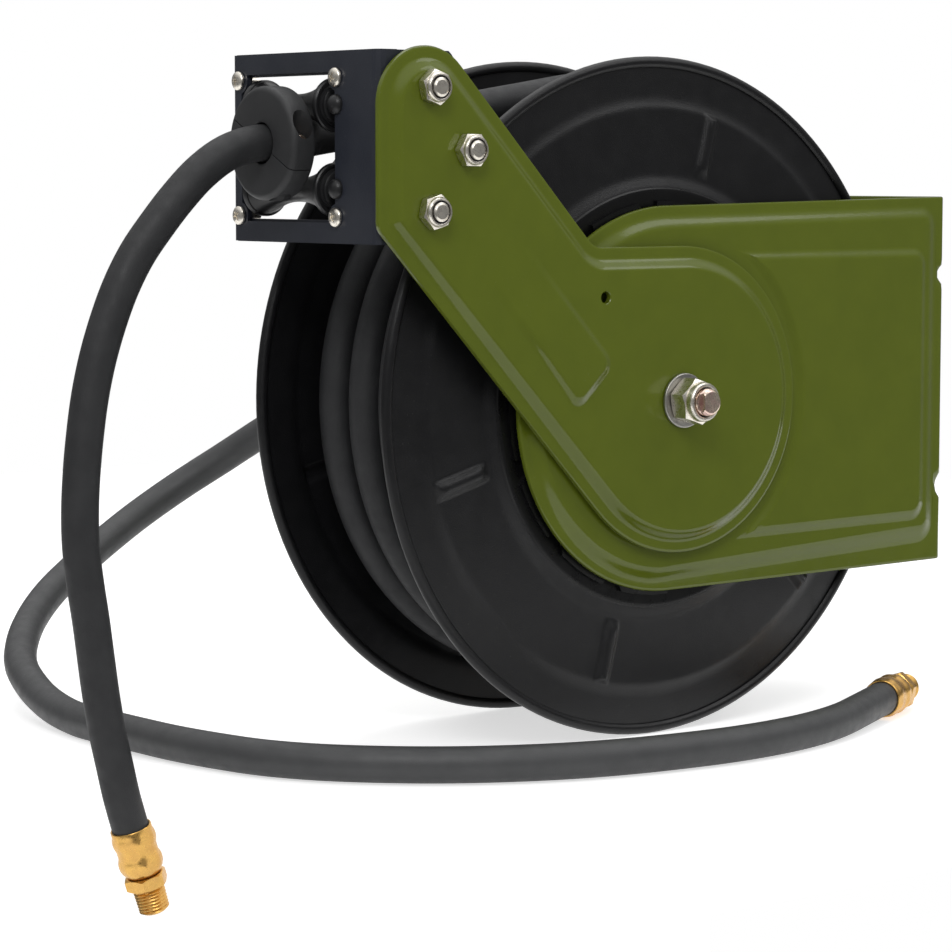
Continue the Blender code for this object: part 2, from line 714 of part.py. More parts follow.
def build_bracket():
    """U bracket: two pressed ears and the wall plate, from one folded sheet."""
    half = BRACKET_OUTER
    fold = 4 * MM
    tip = -BRACKET_RADIUS - 5 * MM
    sheet = BRACKET_SHEET
    height = BRACKET_HALF_HEIGHT
    section = rounded(
        [
            (tip, -half, 0),
            (WALL_X, -half, fold),
            (WALL_X, half, fold),
            (tip, half, 0),
            (tip, half - sheet, 0),
            (WALL_X - sheet, half - sheet, fold - sheet),
            (WALL_X - sheet, -half + sheet, fold - sheet),
            (tip, -half + sheet, 0),
        ],
        3,
    )
    bracket = flat("mount_bracket", section, -height - 1 * MM, height + 1 * MM, "green_paint", rotation=(0, 0, 0))
    bracket = baked(bracket)
    side = arc((0, 0), BRACKET_RADIUS, math.radians(90), math.radians(270), 24)
    side += [(WALL_X + 5 * MM, -height), (WALL_X + 5 * MM, height)]
    combine(bracket, [baked(flat("bracket_side", side, -80 * MM, 80 * MM, None))], "INTERSECT")

    def field(shrink):
        reach, corner = EMBOSS_RADIUS - shrink, max(9 * MM - shrink, 2 * MM)
        front = [(a, b, 0) for a, b in arc((0, 0), reach, math.radians(90), math.radians(270), 20)]
        right = EMBOSS_END - shrink
        return rounded(front + [(right, -reach, corner), (right, reach, corner)], 3)

    def panel(shrink):
        right, level = PANEL_END - shrink, PANEL_HALF_HEIGHT - shrink
        radius, corner = PANEL_RADIUS + shrink, max(9 * MM - shrink, 2 * MM)
        end = math.asin(level / radius)
        front = [(a, b, 0) for a, b in arc((0, 0), radius, end, -end, 10)]
        return rounded([(right, -level, corner), (right, level, corner)] + front, 3)

    pads = []
    pockets = []
    for label, facing in (("near", FACING_NEAR), ("far", FACING_FAR)):
        level = 0
        for shape, outline, rise in (("field", field, EMBOSS_RISE), ("panel", panel, PANEL_RISE)):
            low, high = BRACKET_OUTER + level - 0.5 * MM, BRACKET_OUTER + level + rise
            pads.append(drafted(f"{label}_{shape}", outline(0), low, outline(PRESS_SLOPE), high, facing))
            low, high = BRACKET_INNER + level - 1 * MM, BRACKET_INNER + level + rise
            lower, upper = outline(1 * MM), outline(PRESS_SLOPE + 1 * MM)
            pockets.append(drafted(f"{label}_{shape}_hollow", lower, low, upper, high, facing))
            level = rise
    fuse(bracket, *pads)
    cut(bracket, *pockets)

    tools = [
        baked(rod("near_shaft_hole", THREAD_RADIUS + GAP, -70 * MM, -40 * MM, None, steps=20)),
        baked(rod("far_shaft_hole", SHAFT_RADIUS + GAP, 40 * MM, 70 * MM, None, steps=24)),
    ]
    for i in range(5):
        place = on_circle(LOCK_RADIUS, LOCK_ANGLE + LOCK_STEP * i)
        tools.append(baked(rod(f"lock_hole_{i}", 2.8 * MM, -70 * MM, -40 * MM, None, place, steps=12)))
    low, high = WALL_X - 10 * MM, WALL_X + 5 * MM
    for i, (sy, sz) in enumerate(((-1, -1), (-1, 1), (1, -1), (1, 1))):
        y, z = sy * MOUNT_SLOT_Y, sz * MOUNT_SLOT_Z
        slot = rectangle((y - 9 * MM, z - 4.5 * MM), (y + 9 * MM, z + 4.5 * MM), 4.4 * MM, 4)
        tools.append(baked(flat(f"wall_slot_{i}", slot, low, high, None, rotation=FACING_WALL)))
    cut(bracket, *tools)


def build_shaft():
    """Fixed shaft: threaded near end, hollow far end that takes the air in."""
    shoulder = -BRACKET_INNER - EMBOSS_RISE + GAP
    section = [(0, SHAFT_FAR_END), (SHAFT_RADIUS, SHAFT_FAR_END), (SHAFT_RADIUS, shoulder), (THREAD_RADIUS, shoulder)]
    section += [(THREAD_RADIUS, SHAFT_NEAR_END + 1 * MM), (THREAD_RADIUS - 1 * MM, SHAFT_NEAR_END), (0, SHAFT_NEAR_END)]
    shaft = baked(turned("main_shaft", section, "zinc", steps=20))
    bore = baked(rod("shaft_bore", 4 * MM, 28 * MM, 90 * MM, None, steps=12))
    lean = (Matrix.Rotation(-PORT_ANGLE, 4, "Y") @ Matrix.Rotation(math.pi / 2, 4, "Y")).to_euler()
    cross = baked(rod("shaft_port", 3 * MM, 0, 20 * MM, None, (0, PORT_Y, 0), 12, rotation=lean))
    half_flat = block("shaft_flat", (3.5 * MM, -90 * MM, -10 * MM), (10 * MM, -81.5 * MM, 10 * MM), None)
    cut(shaft, bore, cross, half_flat)

    seat = -ARM_PLATEAU - GAP
    washer = 1.8 * MM
    ring("axle_washer", THREAD_RADIUS + GAP, 12 * MM, seat - washer, seat, "zinc", edge=0.4 * MM)
    lock_nut("axle_nut", 18 * MM, THREAD_RADIUS, seat - washer - GAP, 13 * MM)
    ring("arm_bush", THREAD_RADIUS + GAP, 15 * MM, -ARM_POCKET + GAP, -EMBOSS_OUTER - GAP, "nylon")
    seat = EMBOSS_OUTER + GAP
    ring("far_washer", SHAFT_RADIUS + GAP, 15 * MM, seat, seat + 2 * MM, "zinc", edge=0.4 * MM)
    nut = hexagon("far_nut", 24 * MM, seat + 2 * MM + GAP, seat + 10 * MM, "zinc")
    cut(nut, baked(rod("far_nut_hole", SHAFT_RADIUS + GAP, 40 * MM, 90 * MM, None, steps=24)))


def lock_nut(name, across_flats, thread, seat, height):
    """Hex nut with the round collar of a locking insert, facing -Y from its seat."""
    collar = height * 0.3
    nut = hexagon(name, across_flats, seat - height + collar, seat, "zinc", turn=math.radians(12))
    top = rod(f"{name}_collar", across_flats * 0.46, seat - height, seat - height + collar + 0.5 * MM, None, steps=12, edge=0.8 * MM)
    fuse(nut, baked(top))
    return cut(nut, baked(rod(f"{name}_bore", thread + GAP, seat - 2 * height, seat + height, None, steps=12)))


def arm_outline(shrink=0.0):
    """The arm's edge moved in by shrink, anticlockwise from the foot of its lower slope."""
    end_radius = ARM_END_RADIUS - shrink
    top_radius = ARM_TOP_RADIUS - shrink
    left = ARM_LEFT + shrink
    c, s = math.cos(ARM_LEAN), math.sin(ARM_LEAN)
    top_x, top_z = ARM_TOP_CENTRE
    end = (ARM_END_X, 0)
    neck = (top_x + (top_radius + (top_z - end_radius) * s) / c, end_radius)
    corner = (left, ((ARM_END_X - left) * c - end_radius) / s)
    foot = (ARM_END_X - end_radius * c, -end_radius * s)
    points = arc(end, end_radius, math.pi + ARM_LEAN, 2.5 * math.pi, 20)
    shoulder = (top_x + top_radius * c, top_z + top_radius * s)
    points += rounded([(ARM_END_X, end_radius, 0), (*neck, 10 * MM + shrink), (*shoulder, 0)], 3)[1:-1]
    points += arc(ARM_TOP_CENTRE, top_radius, ARM_LEAN, math.pi, 8)
    bend = max(ARM_CORNER - shrink, 1 * MM)
    points += rounded([(left, top_z, 0), (*corner, bend), (*foot, 0)], 3)[1:-1]
    return points


def build_arm():
    """Pressed arm: a raised face inside a lower border, with a long rib down its slope."""
    arm = baked(flat("guide_arm", arm_outline(), ARM_INNER, ARM_OUTER, "green_paint"))
    foot = ARM_OUTER - 0.5 * MM
    border = ARM_BORDER - 0.5 * MM
    pad = drafted("arm_face", arm_outline(border), foot, arm_outline(ARM_BORDER + ARM_SLOPE), ARM_PLATEAU)
    inner = ARM_BORDER + 1.2 * MM
    hollow = drafted("arm_hollow", arm_outline(inner - 1 * MM), ARM_INNER - 1 * MM, arm_outline(inner + ARM_SLOPE), ARM_POCKET)
    rib_ends = [
        (-60 * MM, 9 * MM, 2 * MM),
        (-47 * MM, 9.5 * MM, 2 * MM),
        (-46 * MM, 24 * MM, 2 * MM),
        (-112 * MM, 92 * MM, 2 * MM),
        (-128 * MM, 84 * MM, 2 * MM),
    ]
    outer = rounded(rib_ends, 1)
    rib = drafted("arm_rib", outer, ARM_PLATEAU - 0.5 * MM, inset(outer, 1.6 * MM), ARM_PLATEAU + 1.3 * MM)
    fuse(arm, pad, rib)
    tools = [hollow]
    tools.append(baked(rod("arm_shaft_hole", THREAD_RADIUS + GAP, -80 * MM, -50 * MM, None, steps=20)))
    lock = on_circle(LOCK_RADIUS, LOCK_ANGLE + 3 * LOCK_STEP)
    tools.append(baked(rod("arm_lock_hole", 2.8 * MM, -80 * MM, -50 * MM, None, lock, steps=12)))
    for i, (x, z) in enumerate(GUIDE_BOLTS):
        tools.append(baked(rod(f"arm_bolt_hole_{i}", 4 * MM + GAP, -80 * MM, -50 * MM, None, (x, 0, z), steps=16)))
    cut(arm, *tools)

    # Bolts, collars and lock nuts that hold the guide plate to the arm
    places = [Vector((x, 0, z)) for x, z in GUIDE_BOLTS]
    seat = -ARM_PLATEAU - GAP
    copies("guide_nut", lock_nut("nut_shape", 13 * MM, 4 * MM, seat, 8 * MM), places)
    collar = ring("collar", 4 * MM + GAP, 8 * MM, -ARM_POCKET + GAP, -GUIDE_FLANGE - GAP, "zinc", steps=20)
    copies("guide_collar", collar, places)
    inside = -GUIDE_FLANGE + GUIDE_SHEET + GAP
    bolt = hexagon("bolt_shape", 13 * MM, inside, inside + 5.3 * MM, "zinc")
    shank = rod("guide_bolt_shank", 4 * MM, seat - 9.5 * MM, inside + 1 * MM, None, steps=16, edge=0.6 * MM)
    fuse(bolt, baked(shank))
    copies("guide_bolt", bolt, places)


def window_outline():
    """The guide window in (y, z), its corners cut back round the four screws."""
    half_y, half_z = WINDOW_HALF
    screw_y, screw_z = SCREW_HALF
    pad = 5.6 * MM
    side = screw_z - math.sqrt(pad**2 - (screw_y - half_y) ** 2)
    level = screw_y - math.sqrt(pad**2 - (half_z - screw_z) ** 2)
    first = math.atan2(side - screw_z, half_y - screw_y)
    last = math.atan2(half_z - screw_z, level - screw_y)
    if last > 0:
        last -= 2 * math.pi
    points = []
    for sy, sz in ((1, 1), (-1, 1), (-1, -1), (1, -1)):
        bite = [(sy * a, sz * b) for a, b in arc((screw_y, screw_z), pad, first, last, 5)]
        points += bite if sy * sz > 0 else bite[::-1]
    return [(GUIDE_Y + a, GUIDE_Z + b) for a, b in points]


def build_guide():
    """Folded guide plate with its window, and the rollers in their frame behind it."""
    near, far = -GUIDE_FLANGE, GUIDE_FAR_EDGE
    low, high = GUIDE_Z - GUIDE_HALF_HEIGHT, GUIDE_Z + GUIDE_HALF_HEIGHT
    sheet = GUIDE_SHEET
    fold = 4 * MM
    far_fold = 2.5 * MM
    tip = GUIDE_X + 56 * MM
    lip = GUIDE_X + 11 * MM
    back = GUIDE_X + sheet
    section = rounded(
        [
            (tip + 3 * MM, near, 0),
            (tip + 3 * MM, near + sheet, 0),
            (back, near + sheet, fold - sheet),
            (back, far - sheet, far_fold - sheet),
            (lip, far - sheet, 0),
            (lip, far, 0),
            (GUIDE_X, far, far_fold),
            (GUIDE_X, near, fold),
        ],
        3,
    )
    plate = baked(flat("guide_plate", section, low, high, "graphite_paint", rotation=(0, 0, 0)))
    shape = [(GUIDE_X - 3 * MM, low - 1 * MM, 0), (GUIDE_X + 36 * MM, low - 1 * MM, 6 * MM)]
    shape += [(tip, GUIDE_Z - 16 * MM, 6 * MM), (tip, GUIDE_Z + 16 * MM, 6 * MM)]
    shape += [(GUIDE_X + 36 * MM, high + 1 * MM, 6 * MM), (GUIDE_X - 3 * MM, high + 1 * MM, 0)]
    combine(plate, [baked(flat("guide_side", rounded(shape, 3), -70 * MM, 70 * MM, None))], "INTERSECT")
    lips = []
    inside = 1 * MM
    corners = [(GUIDE_X + inside, far - inside, 1.5 * MM), (GUIDE_X + inside, near + inside, 3 * MM)]
    corners += [(lip - 0.5 * MM, near + inside, 0), (lip - 0.5 * MM, far - inside, 0)]
    for i, z in enumerate((low - 0.2 * MM, high - sheet + 0.2 * MM)):
        lips.append(baked(flat(f"guide_lip_{i}", rounded(corners, 3), z, z + sheet, None, rotation=(0, 0, 0))))
    fuse(plate, *lips)
    tools = [baked(flat("guide_window", window_outline(), GUIDE_X - 5 * MM, back + 5 * MM, None, rotation=FACING_WALL))]
    screws = []
    for sy, sz in ((-1, -1), (-1, 1), (1, -1), (1, 1)):
        screws.append(Vector((0, GUIDE_Y + sy * SCREW_HALF[0], GUIDE_Z + sz * SCREW_HALF[1])))
    screw_holes = []
    for i, place in enumerate(screws):
        hole = rod(f"plate_screw_hole_{i}", SCREW_RADIUS + GAP, 140 * MM, 170 * MM, None, place, 10, rotation=FACING_OUT)
        screw_holes.append(baked(hole))
    for i, (x, z) in enumerate(GUIDE_BOLTS):
        tools.append(baked(rod(f"guide_bolt_hole_{i}", 4 * MM + GAP, -60 * MM, -50 * MM, None, (x, 0, z), steps=16)))
    cut(plate, *tools, *screw_holes)

    # Frame behind the window, with an ear at each end of the rollers
    front = back + GAP
    frame_back = front + 2 * MM
    outer_y = GUIDE_FAR_EDGE - far_fold - 0.1 * MM - GUIDE_Y
    outer_z = GUIDE_HALF_HEIGHT - sheet - GAP
    ear = HUB_LENGTH / 2 + GAP
    outline = rectangle((GUIDE_Y - outer_y, GUIDE_Z - outer_z), (GUIDE_Y + outer_y, GUIDE_Z + outer_z), 3 * MM)
    hole = rectangle((GUIDE_Y - ear, GUIDE_Z - 30 * MM), (GUIDE_Y + ear, GUIDE_Z + 30 * MM), 1 * MM)
    frame = flat("roller_frame", outline, front, frame_back, "graphite_paint", (hole,), rotation=FACING_WALL)
    frame = baked(frame)
    ears = []
    for i, sy in enumerate((-1, 1)):
        y = sorted((GUIDE_Y + sy * ear, GUIDE_Y + sy * (ear + 2 * MM)))
        corner = (front + 0.5 * MM, y[0], GUIDE_Z - 26 * MM)
        ears.append(block(f"roller_ear_{i}", corner, (ROLLER_X + 8 * MM, y[1], GUIDE_Z + 26 * MM), None))
    fuse(frame, *ears)
    levels = {"lower": GUIDE_Z - ROLLER_SPREAD / 2, "upper": GUIDE_Z + ROLLER_SPREAD / 2}
    pin_holes = []
    for name, z in levels.items():
        place = (ROLLER_X, GUIDE_Y, z)
        pin_holes.append(baked(rod(f"{name}_pin_hole", PIN_RADIUS + GAP, -60 * MM, 60 * MM, None, place, steps=14)))
        for side in (-1, 1):
            reach = sorted((side * (ear + 2.1 * MM), side * (ear + 8 * MM)))
            hole = rod(f"{name}_head_room_{side}", 4 * MM + GAP, *reach, None, place, 14)
            pin_holes.append(baked(hole))
        head = -ear - 2 * MM - GAP
        end = ear + 2.8 * MM
        section = [(0, end), (PIN_RADIUS, end), (PIN_RADIUS, head), (4 * MM, head), (4 * MM, head - 0.4 * MM)]
        section += [(3 * MM, head - 1.6 * MM), (0, head - 2.2 * MM)]
        turned(f"{name}_roller_pin", section, "zinc", place, steps=14)
        half = ROLLER_LENGTH / 2
        hub = HUB_LENGTH / 2
        bore = PIN_RADIUS + RUN_GAP
        section = [(bore, hub), (5.2 * MM, hub), (5.2 * MM, half + 2.2 * MM), (8.2 * MM, half + 2.2 * MM)]
        section += [(8.2 * MM, half), (ROLLER_RADIUS - 0.6 * MM, half)]
        section += [(ROLLER_RADIUS, half - 0.6 * MM), (ROLLER_RADIUS, half - 3 * MM)]
        waist = []
        for t in (1, 0.75, 0.45):
            waist.append((ROLLER_WAIST + (ROLLER_RADIUS - 0.8 * MM - ROLLER_WAIST) * t**2, t * (half - 3 * MM)))
        section += waist + [(r, -h) for r, h in waist[::-1]]
        section += [(ROLLER_RADIUS, 3 * MM - half), (ROLLER_RADIUS, 0.6 * MM - half), (ROLLER_RADIUS - 0.6 * MM, -half)]
        section += [(8.2 * MM, -half), (8.2 * MM, -half - 2.2 * MM), (5.2 * MM, -half - 2.2 * MM)]
        section += [(5.2 * MM, -hub), (bore, -hub)]
        turned(f"{name}_roller", section, "black_nylon", place, steps=12)
    cut(frame, *pin_holes, *screw_holes)

    seat = -GUIDE_X + GAP
    section = [(0, seat + 2.4 * MM), (2.6 * MM, seat + 2.4 * MM), (4 * MM, seat + 1 * MM), (4 * MM, seat)]
    section += [(SCREW_RADIUS, seat), (SCREW_RADIUS, -frame_back - 6 * MM), (0, -frame_back - 6 * MM)]
    copies("plate_screw", turned("screw_shape", section, "zinc", rotation=FACING_OUT, steps=14), screws)


def build_stopper():
    """Two clamped halves on the hose that stop it at the rollers."""
    centre = Vector((0, STOPPER_Y, STOPPER_Z))
    low, high = -STOPPER_BACK, -STOPPER_BACK + STOPPER_LENGTH
    middle = -(low + high) / 2
    tilt = (STOPPER_SPLIT, 0, 0)
    along = Vector((0, math.cos(STOPPER_SPLIT), math.sin(STOPPER_SPLIT)))
    spots = [centre + Vector((middle, 0, 0)) + along * side * 15.5 * MM for side in (-1, 1)]
    for name, sign in (("stopper_upper", 1), ("stopper_lower", -1)):
        bore = HOSE_RADIUS + GAP
        half = ring(name, bore, STOPPER_RADIUS, low, high, "black_rubber", centre, 24, 1.2 * MM, FACING_OUT)
        half = baked(half)
        z = sorted((-sign * 40 * MM, sign * GAP / 2))
        away = block(f"{name}_other", (-200 * MM, -40 * MM, z[0]), (-140 * MM, 40 * MM, z[1]), None, tilt, centre)
        tools = [away]
        for i, spot in enumerate(spots):
            hole = rod(f"{name}_hole_{i}", 2.3 * MM, -10 * MM, 12 * MM, None, spot, 10, rotation=tilt)
            tools.append(baked(hole))
            if sign > 0:
                sink = rod(f"{name}_sink_{i}", 4.5 * MM, 8 * MM, 30 * MM, None, spot, 16, rotation=tilt)
                tools.append(baked(sink))
        cut(half, *tools)
    section = [(0, 11.3 * MM), (3.4 * MM, 11.3 * MM), (3.6 * MM, 11 * MM), (3.6 * MM, 8.3 * MM), (2 * MM, 8.3 * MM)]
    section += [(2 * MM, -9 * MM), (0, -9 * MM)]
    copies("stopper_screw", turned("clamp_shape", section, "zinc", rotation=tilt, steps=14), spots)


def crimped_end(names, place, outwards, body, across_flats, bore_depth=None):
    """Ferrule and fitting on a hose end at place, facing outwards; body is the fitting's outline."""
    rotation = outwards.to_track_quat("Z", "Y").to_euler()
    wide, thin, bore, stem = 9.2 * MM, 8.6 * MM, HOSE_RADIUS + GAP, 5.3 * MM
    section = [(stem, 5.1 * MM), (7.2 * MM, 5.1 * MM), (wide, 1.6 * MM), (wide, -1.5 * MM), (thin, -3 * MM)]
    section += [(thin, -7 * MM), (wide, -8.5 * MM), (wide, -11.5 * MM), (thin, -13 * MM)]
    section += [(thin, -FERRULE_GRIP), (bore, -FERRULE_GRIP), (bore, 2.1 * MM), (stem, 2.1 * MM)]
    turned(names[0], section, "brass", place, rotation, 14)
    section = [(0, GAP), (7 * MM, GAP), (7 * MM, 1.8 * MM), (5 * MM, 1.8 * MM), (5 * MM, 8 * MM)] + body
    fitting = baked(turned(names[1], section, "brass", place, rotation, 14))
    hexed = hexagon(f"{names[1]}_hex", across_flats, 5.4 * MM, 10.9 * MM, None, place, rotation)
    fuse(fitting, hexed)
    cut(fitting, baked(rod(f"{names[1]}_bore", 3.2 * MM, -5 * MM, 40 * MM, None, place, 12, rotation=rotation)))
    if bore_depth is not None:
        socket = rod(f"{names[1]}_socket", SHAFT_RADIUS + GAP, bore_depth, 60 * MM, None, place, 24, rotation=rotation)
        cut(fitting, baked(socket))
    return fitting


def build_hoses():
    """The outlet hose in front of the guide and the inlet hose from the far end of the shaft."""
    male = [(6.7 * MM, 8 * MM), (6.4 * MM, 21 * MM), (5.4 * MM, FITTING_REACH), (0, FITTING_REACH)]
    start = STOPPER_BACK - STOPPER_LENGTH / 2 - GAP / 2
    front = STOPPER_BACK - STOPPER_LENGTH - 2 * MM
    down = Vector((0.302, 0, -0.953)).normalized()
    end = Vector((-234.2 * MM, 0, -204.8 * MM)) - down * FITTING_REACH
    knots = [(front / MM, 1, STOPPER_Z / MM), (-198.4, 1, 106), (-210.5, 0.6, 97.5), (-224.4, 0, 84.5), (-243.9, 0, 60.2)]
    knots += [(-259.1, 0, 24.3), (-266.1, 0, -11.7), (-268, 0, -48), (-263.2, 0, -83.6), (-257.5, 0, -122)]
    knots += [tuple((end - down * 28 * MM) / MM)]
    route = smooth_route([Vector(k) * MM for k in knots], 15 * MM)
    route = [Vector((start, STOPPER_Y, STOPPER_Z))] + route + [end]
    hose("outlet_hose", route, HOSE_RADIUS, "hose_rubber", 3)
    crimped_end(("outlet_ferrule", "outlet_fitting"), end, down, male, 16 * MM)

    rest = -FLANGE_RADIUS + HOSE_RADIUS + 0.2 * MM
    first = Vector((0, SHAFT_FAR_END + 14.7 * MM, 0))
    along = Vector((0.894, 0.447, 0)).normalized()
    last = Vector((119.4 * MM, -78.3 * MM, -FLANGE_RADIUS + 9.5 * MM))
    level = rest / MM
    knots = [tuple((first + Vector((0, 16 * MM, 0))) / MM), (-1, 160, -3), (-6, 210, -18), (-27, 246, -43)]
    knots += [(-60, 262, -66), (-99, 256, -86), (-149, 231, -109), (-186, 188, -127), (-199, 150, -137)]
    knots += [(-204, 115, level), (-206, 70, level), (-204, 20, level), (-190, -34, level), (-151, -79, level)]
    knots += [(-99, -108, level), (-44, -120, level), (0, -121, level), (45, -112, level), (78, -98.5, level + 1)]
    knots += [tuple((last - along * 18 * MM) / MM)]
    route = smooth_route([Vector(k) * MM for k in knots], 23 * MM)
    route = [first] + route + [last]
    hose("inlet_hose", route, HOSE_RADIUS, "hose_rubber", 2)
    crimped_end(("inlet_end_ferrule", "inlet_end_fitting"), last, along, male, 16 * MM)
    body = [(10.5 * MM, 8 * MM), (10.5 * MM, 22.5 * MM), (0, 22.5 * MM)]
    depth = first.y - SHAFT_FAR_END - GAP
    crimped_end(("inlet_ferrule", "inlet_adapter"), first, Vector((0, -1, 0)), body, 22 * MM, depth)
    print(f"outlet and inlet hose lengths {path_length('outlet_hose'):.3f} {path_length('inlet_hose'):.3f} m")


def path_length(name):
    points = [Vector(point.co[:3]) for point in bpy.data.objects[name].data.splines[0].points]
    return sum((b - a).length for a, b in zip(points, points[1:]))


def build_pawl():
    """Sprung pawl on a stud inside the near ear, its tip over a notch of the ratchet."""
    pivot = on_circle(PAWL_RADIUS, PAWL_ANGLE)
    tip = on_circle(RATCHET_RADIUS + 0.6 * MM, PAWL_TIP_ANGLE)
    low, high = BOSS_OUTER + 1 * MM, BRACKET_INNER - GAP
    here = Vector((tip.x - pivot.x, tip.z - pivot.z))
    along = here.normalized()
    across = Vector((-along.y, along.x))
    if across.dot(here + Vector((pivot.x, pivot.z))) < 0:
        across = -across
    back = math.atan2(-along.y, -along.x)
    outline = arc((0, 0), 6.5 * MM, back - math.radians(95), back + math.radians(95), 12)
    upper = here + across * 3.4 * MM
    ends = [tuple(here), tuple(upper)]
    if (Vector(outline[-1]) - here).length > (Vector(outline[-1]) - upper).length:
        ends = ends[::-1]
    outline += ends
    place = (pivot.x, 0, pivot.z)
    pawl = baked(flat("pawl", outline, low, high, "zinc", place=place))
    cut(pawl, baked(rod("pawl_hole", 2.5 * MM + RUN_GAP, -70 * MM, -40 * MM, None, place, steps=14)))
    foot = BRACKET_INNER + EMBOSS_RISE + PANEL_RISE - GAP
    section = [(0, -foot), (4.2 * MM, -foot)]
    section += [(4.2 * MM, -high - GAP), (2.5 * MM, -high - GAP), (2.5 * MM, -low + GAP), (4.2 * MM, -low + GAP)]
    section += [(4.2 * MM, -low + 0.7 * MM), (0, -low + 0.7 * MM)]
    turned("pawl_stud", section, "zinc", place, steps=14)
    wire = 0.4 * MM
    points = []
    for i in range(15):
        angle = back + 2 * math.pi * (i / 12)
        y = -high - wire - 0.15 * MM - 0.9 * MM * i / 12
        points.append(Vector((4.9 * MM * math.cos(angle), y, 4.9 * MM * math.sin(angle))))
    hose("pawl_spring", [Vector(place) + p for p in points], wire, "spring_steel", 1)


build_spool()
build_bracket()
build_shaft()
build_arm()
build_guide()
build_stopper()
build_hoses()
build_pawl()

for part in PARTS.objects:
    if part.type == "MESH":
        part.data.shade_smooth()
        part.data.set_sharp_from_angle(angle=math.radians(30))
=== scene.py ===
"""Looks of the retractable air hose reel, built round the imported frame.

Shapes are drawn in millimetres from the axle, as in the CAD source: +Y along the axle to the
inlet side, -X where the hose comes out, +Z up.
"""

import json
import math
from math import cos, pi, radians, sin

import bmesh
import bpy
from mathutils import Matrix, Vector
from mathutils.geometry import delaunay_2d_cdt

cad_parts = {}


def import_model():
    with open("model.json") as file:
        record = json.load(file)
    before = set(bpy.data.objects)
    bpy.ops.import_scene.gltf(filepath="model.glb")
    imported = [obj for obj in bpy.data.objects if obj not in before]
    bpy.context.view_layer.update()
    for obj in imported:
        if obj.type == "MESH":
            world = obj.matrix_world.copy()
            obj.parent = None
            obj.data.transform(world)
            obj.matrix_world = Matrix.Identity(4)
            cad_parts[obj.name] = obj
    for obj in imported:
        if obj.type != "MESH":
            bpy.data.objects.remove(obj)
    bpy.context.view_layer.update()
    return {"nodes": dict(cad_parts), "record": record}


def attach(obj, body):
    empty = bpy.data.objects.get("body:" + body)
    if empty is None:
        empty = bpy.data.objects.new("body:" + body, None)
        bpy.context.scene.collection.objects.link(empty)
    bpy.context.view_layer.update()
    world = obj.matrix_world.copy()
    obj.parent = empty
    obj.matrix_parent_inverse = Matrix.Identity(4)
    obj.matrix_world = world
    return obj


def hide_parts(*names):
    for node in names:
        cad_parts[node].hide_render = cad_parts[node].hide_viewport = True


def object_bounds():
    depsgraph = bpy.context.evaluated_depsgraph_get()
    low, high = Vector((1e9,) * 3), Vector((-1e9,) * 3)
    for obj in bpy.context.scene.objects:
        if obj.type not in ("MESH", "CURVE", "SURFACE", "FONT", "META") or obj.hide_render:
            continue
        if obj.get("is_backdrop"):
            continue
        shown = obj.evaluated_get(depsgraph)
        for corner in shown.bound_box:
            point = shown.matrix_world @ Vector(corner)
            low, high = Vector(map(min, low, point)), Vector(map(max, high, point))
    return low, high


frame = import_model()
scene = bpy.context.scene
scene.view_settings.view_transform = "Standard"

MM = 0.001
AXLE_X = -175  # the axle, from the bracket's rear face
AXIS = 0.05  # radius of the small ring that ends a turned shape on its axis

# Sizes shared with the CAD source
GAP = 0.3  # between pieces that touch
HOSE_RADIUS = 7.7
FERRULE_GRIP = 15.9  # length of hose inside a ferrule
FITTING_REACH = 22.3  # from the hose's end to the fitting's tip
LAYER_RADIUS, INNER_RADIUS = 120.5, 103.4  # middle of the outer layer of hose and of the next
LEAD_RADIUS, GROOVE_RADIUS = 136.7, 104  # middle of the lead where it lifts off, and where it ends
TURN_PITCH, FAR_LANE, LEAD_Y, GROOVE_LANE = 21.5, 26.5, -12, -36
FLANGE_RADIUS, RIM_Y, RIM_BEAD, FLANGE_SHEET, BOSS_RISE = 150, 45, 2.5, 1.5, 5
SHAFT_RADIUS, THREAD_RADIUS, SHAFT_NEAR_END, SHAFT_FAR_END = 8, 6, -84, 78
BRACKET_RADIUS, BRACKET_OUTER, BRACKET_SHEET, EMBOSS_RISE = 85, 55.5, 2.5, 2.2
MOUNT_SLOT_Y, MOUNT_SLOT_Z = 30, 55
LOCK_RADIUS, LOCK_ANGLE, LOCK_STEP = 64, 65, 23
ARM_INNER, ARM_OUTER, ARM_RISE = 59, 62, 3
ARM_PLATEAU = ARM_OUTER + ARM_RISE
ARM_LEAN = radians(43.8)  # of the lines square to the arm's sloping edges
ARM_END_X, ARM_END_RADIUS, ARM_LEFT = 3, 67.5, -163.6
ARM_TOP_CENTRE, ARM_TOP_RADIUS = (-139, 126.5), 24.6
GUIDE_BOLTS = ((-139, 134), (-120, 108.6), (-139, 83.4))
GUIDE_X, GUIDE_Y, GUIDE_Z = -161, 5.5, 109.7  # front face and middle of the guide plate
SCREW_Y, SCREW_Z = 35, 28.7
ROLLER_X, ROLLER_SPREAD, ROLLER_RADIUS, ROLLER_WAIST = -154.5, 35.2, 11.4, 5
STOPPER_BACK, STOPPER_LENGTH, STOPPER_RADIUS = -166, 12, 23.8
STOPPER_Y, STOPPER_Z, STOPPER_SPLIT = 1, 111.5, radians(28)


# Finishes

COAT_ROUGHNESS = 0.08
BUMP_DEPTH = 0.001
DUST_SCALE, WAVE_SCALE = 1400, 35
PATCH_SHARE = 2.3  # scale of the uneven gloss, as a share of the clouds' scale
FINISHES = {}


def connect(tree, made, inputs):
    """Fills a node's inputs, each with a value or with another node's output."""
    for name, given in inputs.items():
        if isinstance(given, bpy.types.NodeSocket):
            tree.links.new(given, made.inputs[name])
        else:
            made.inputs[name].default_value = given


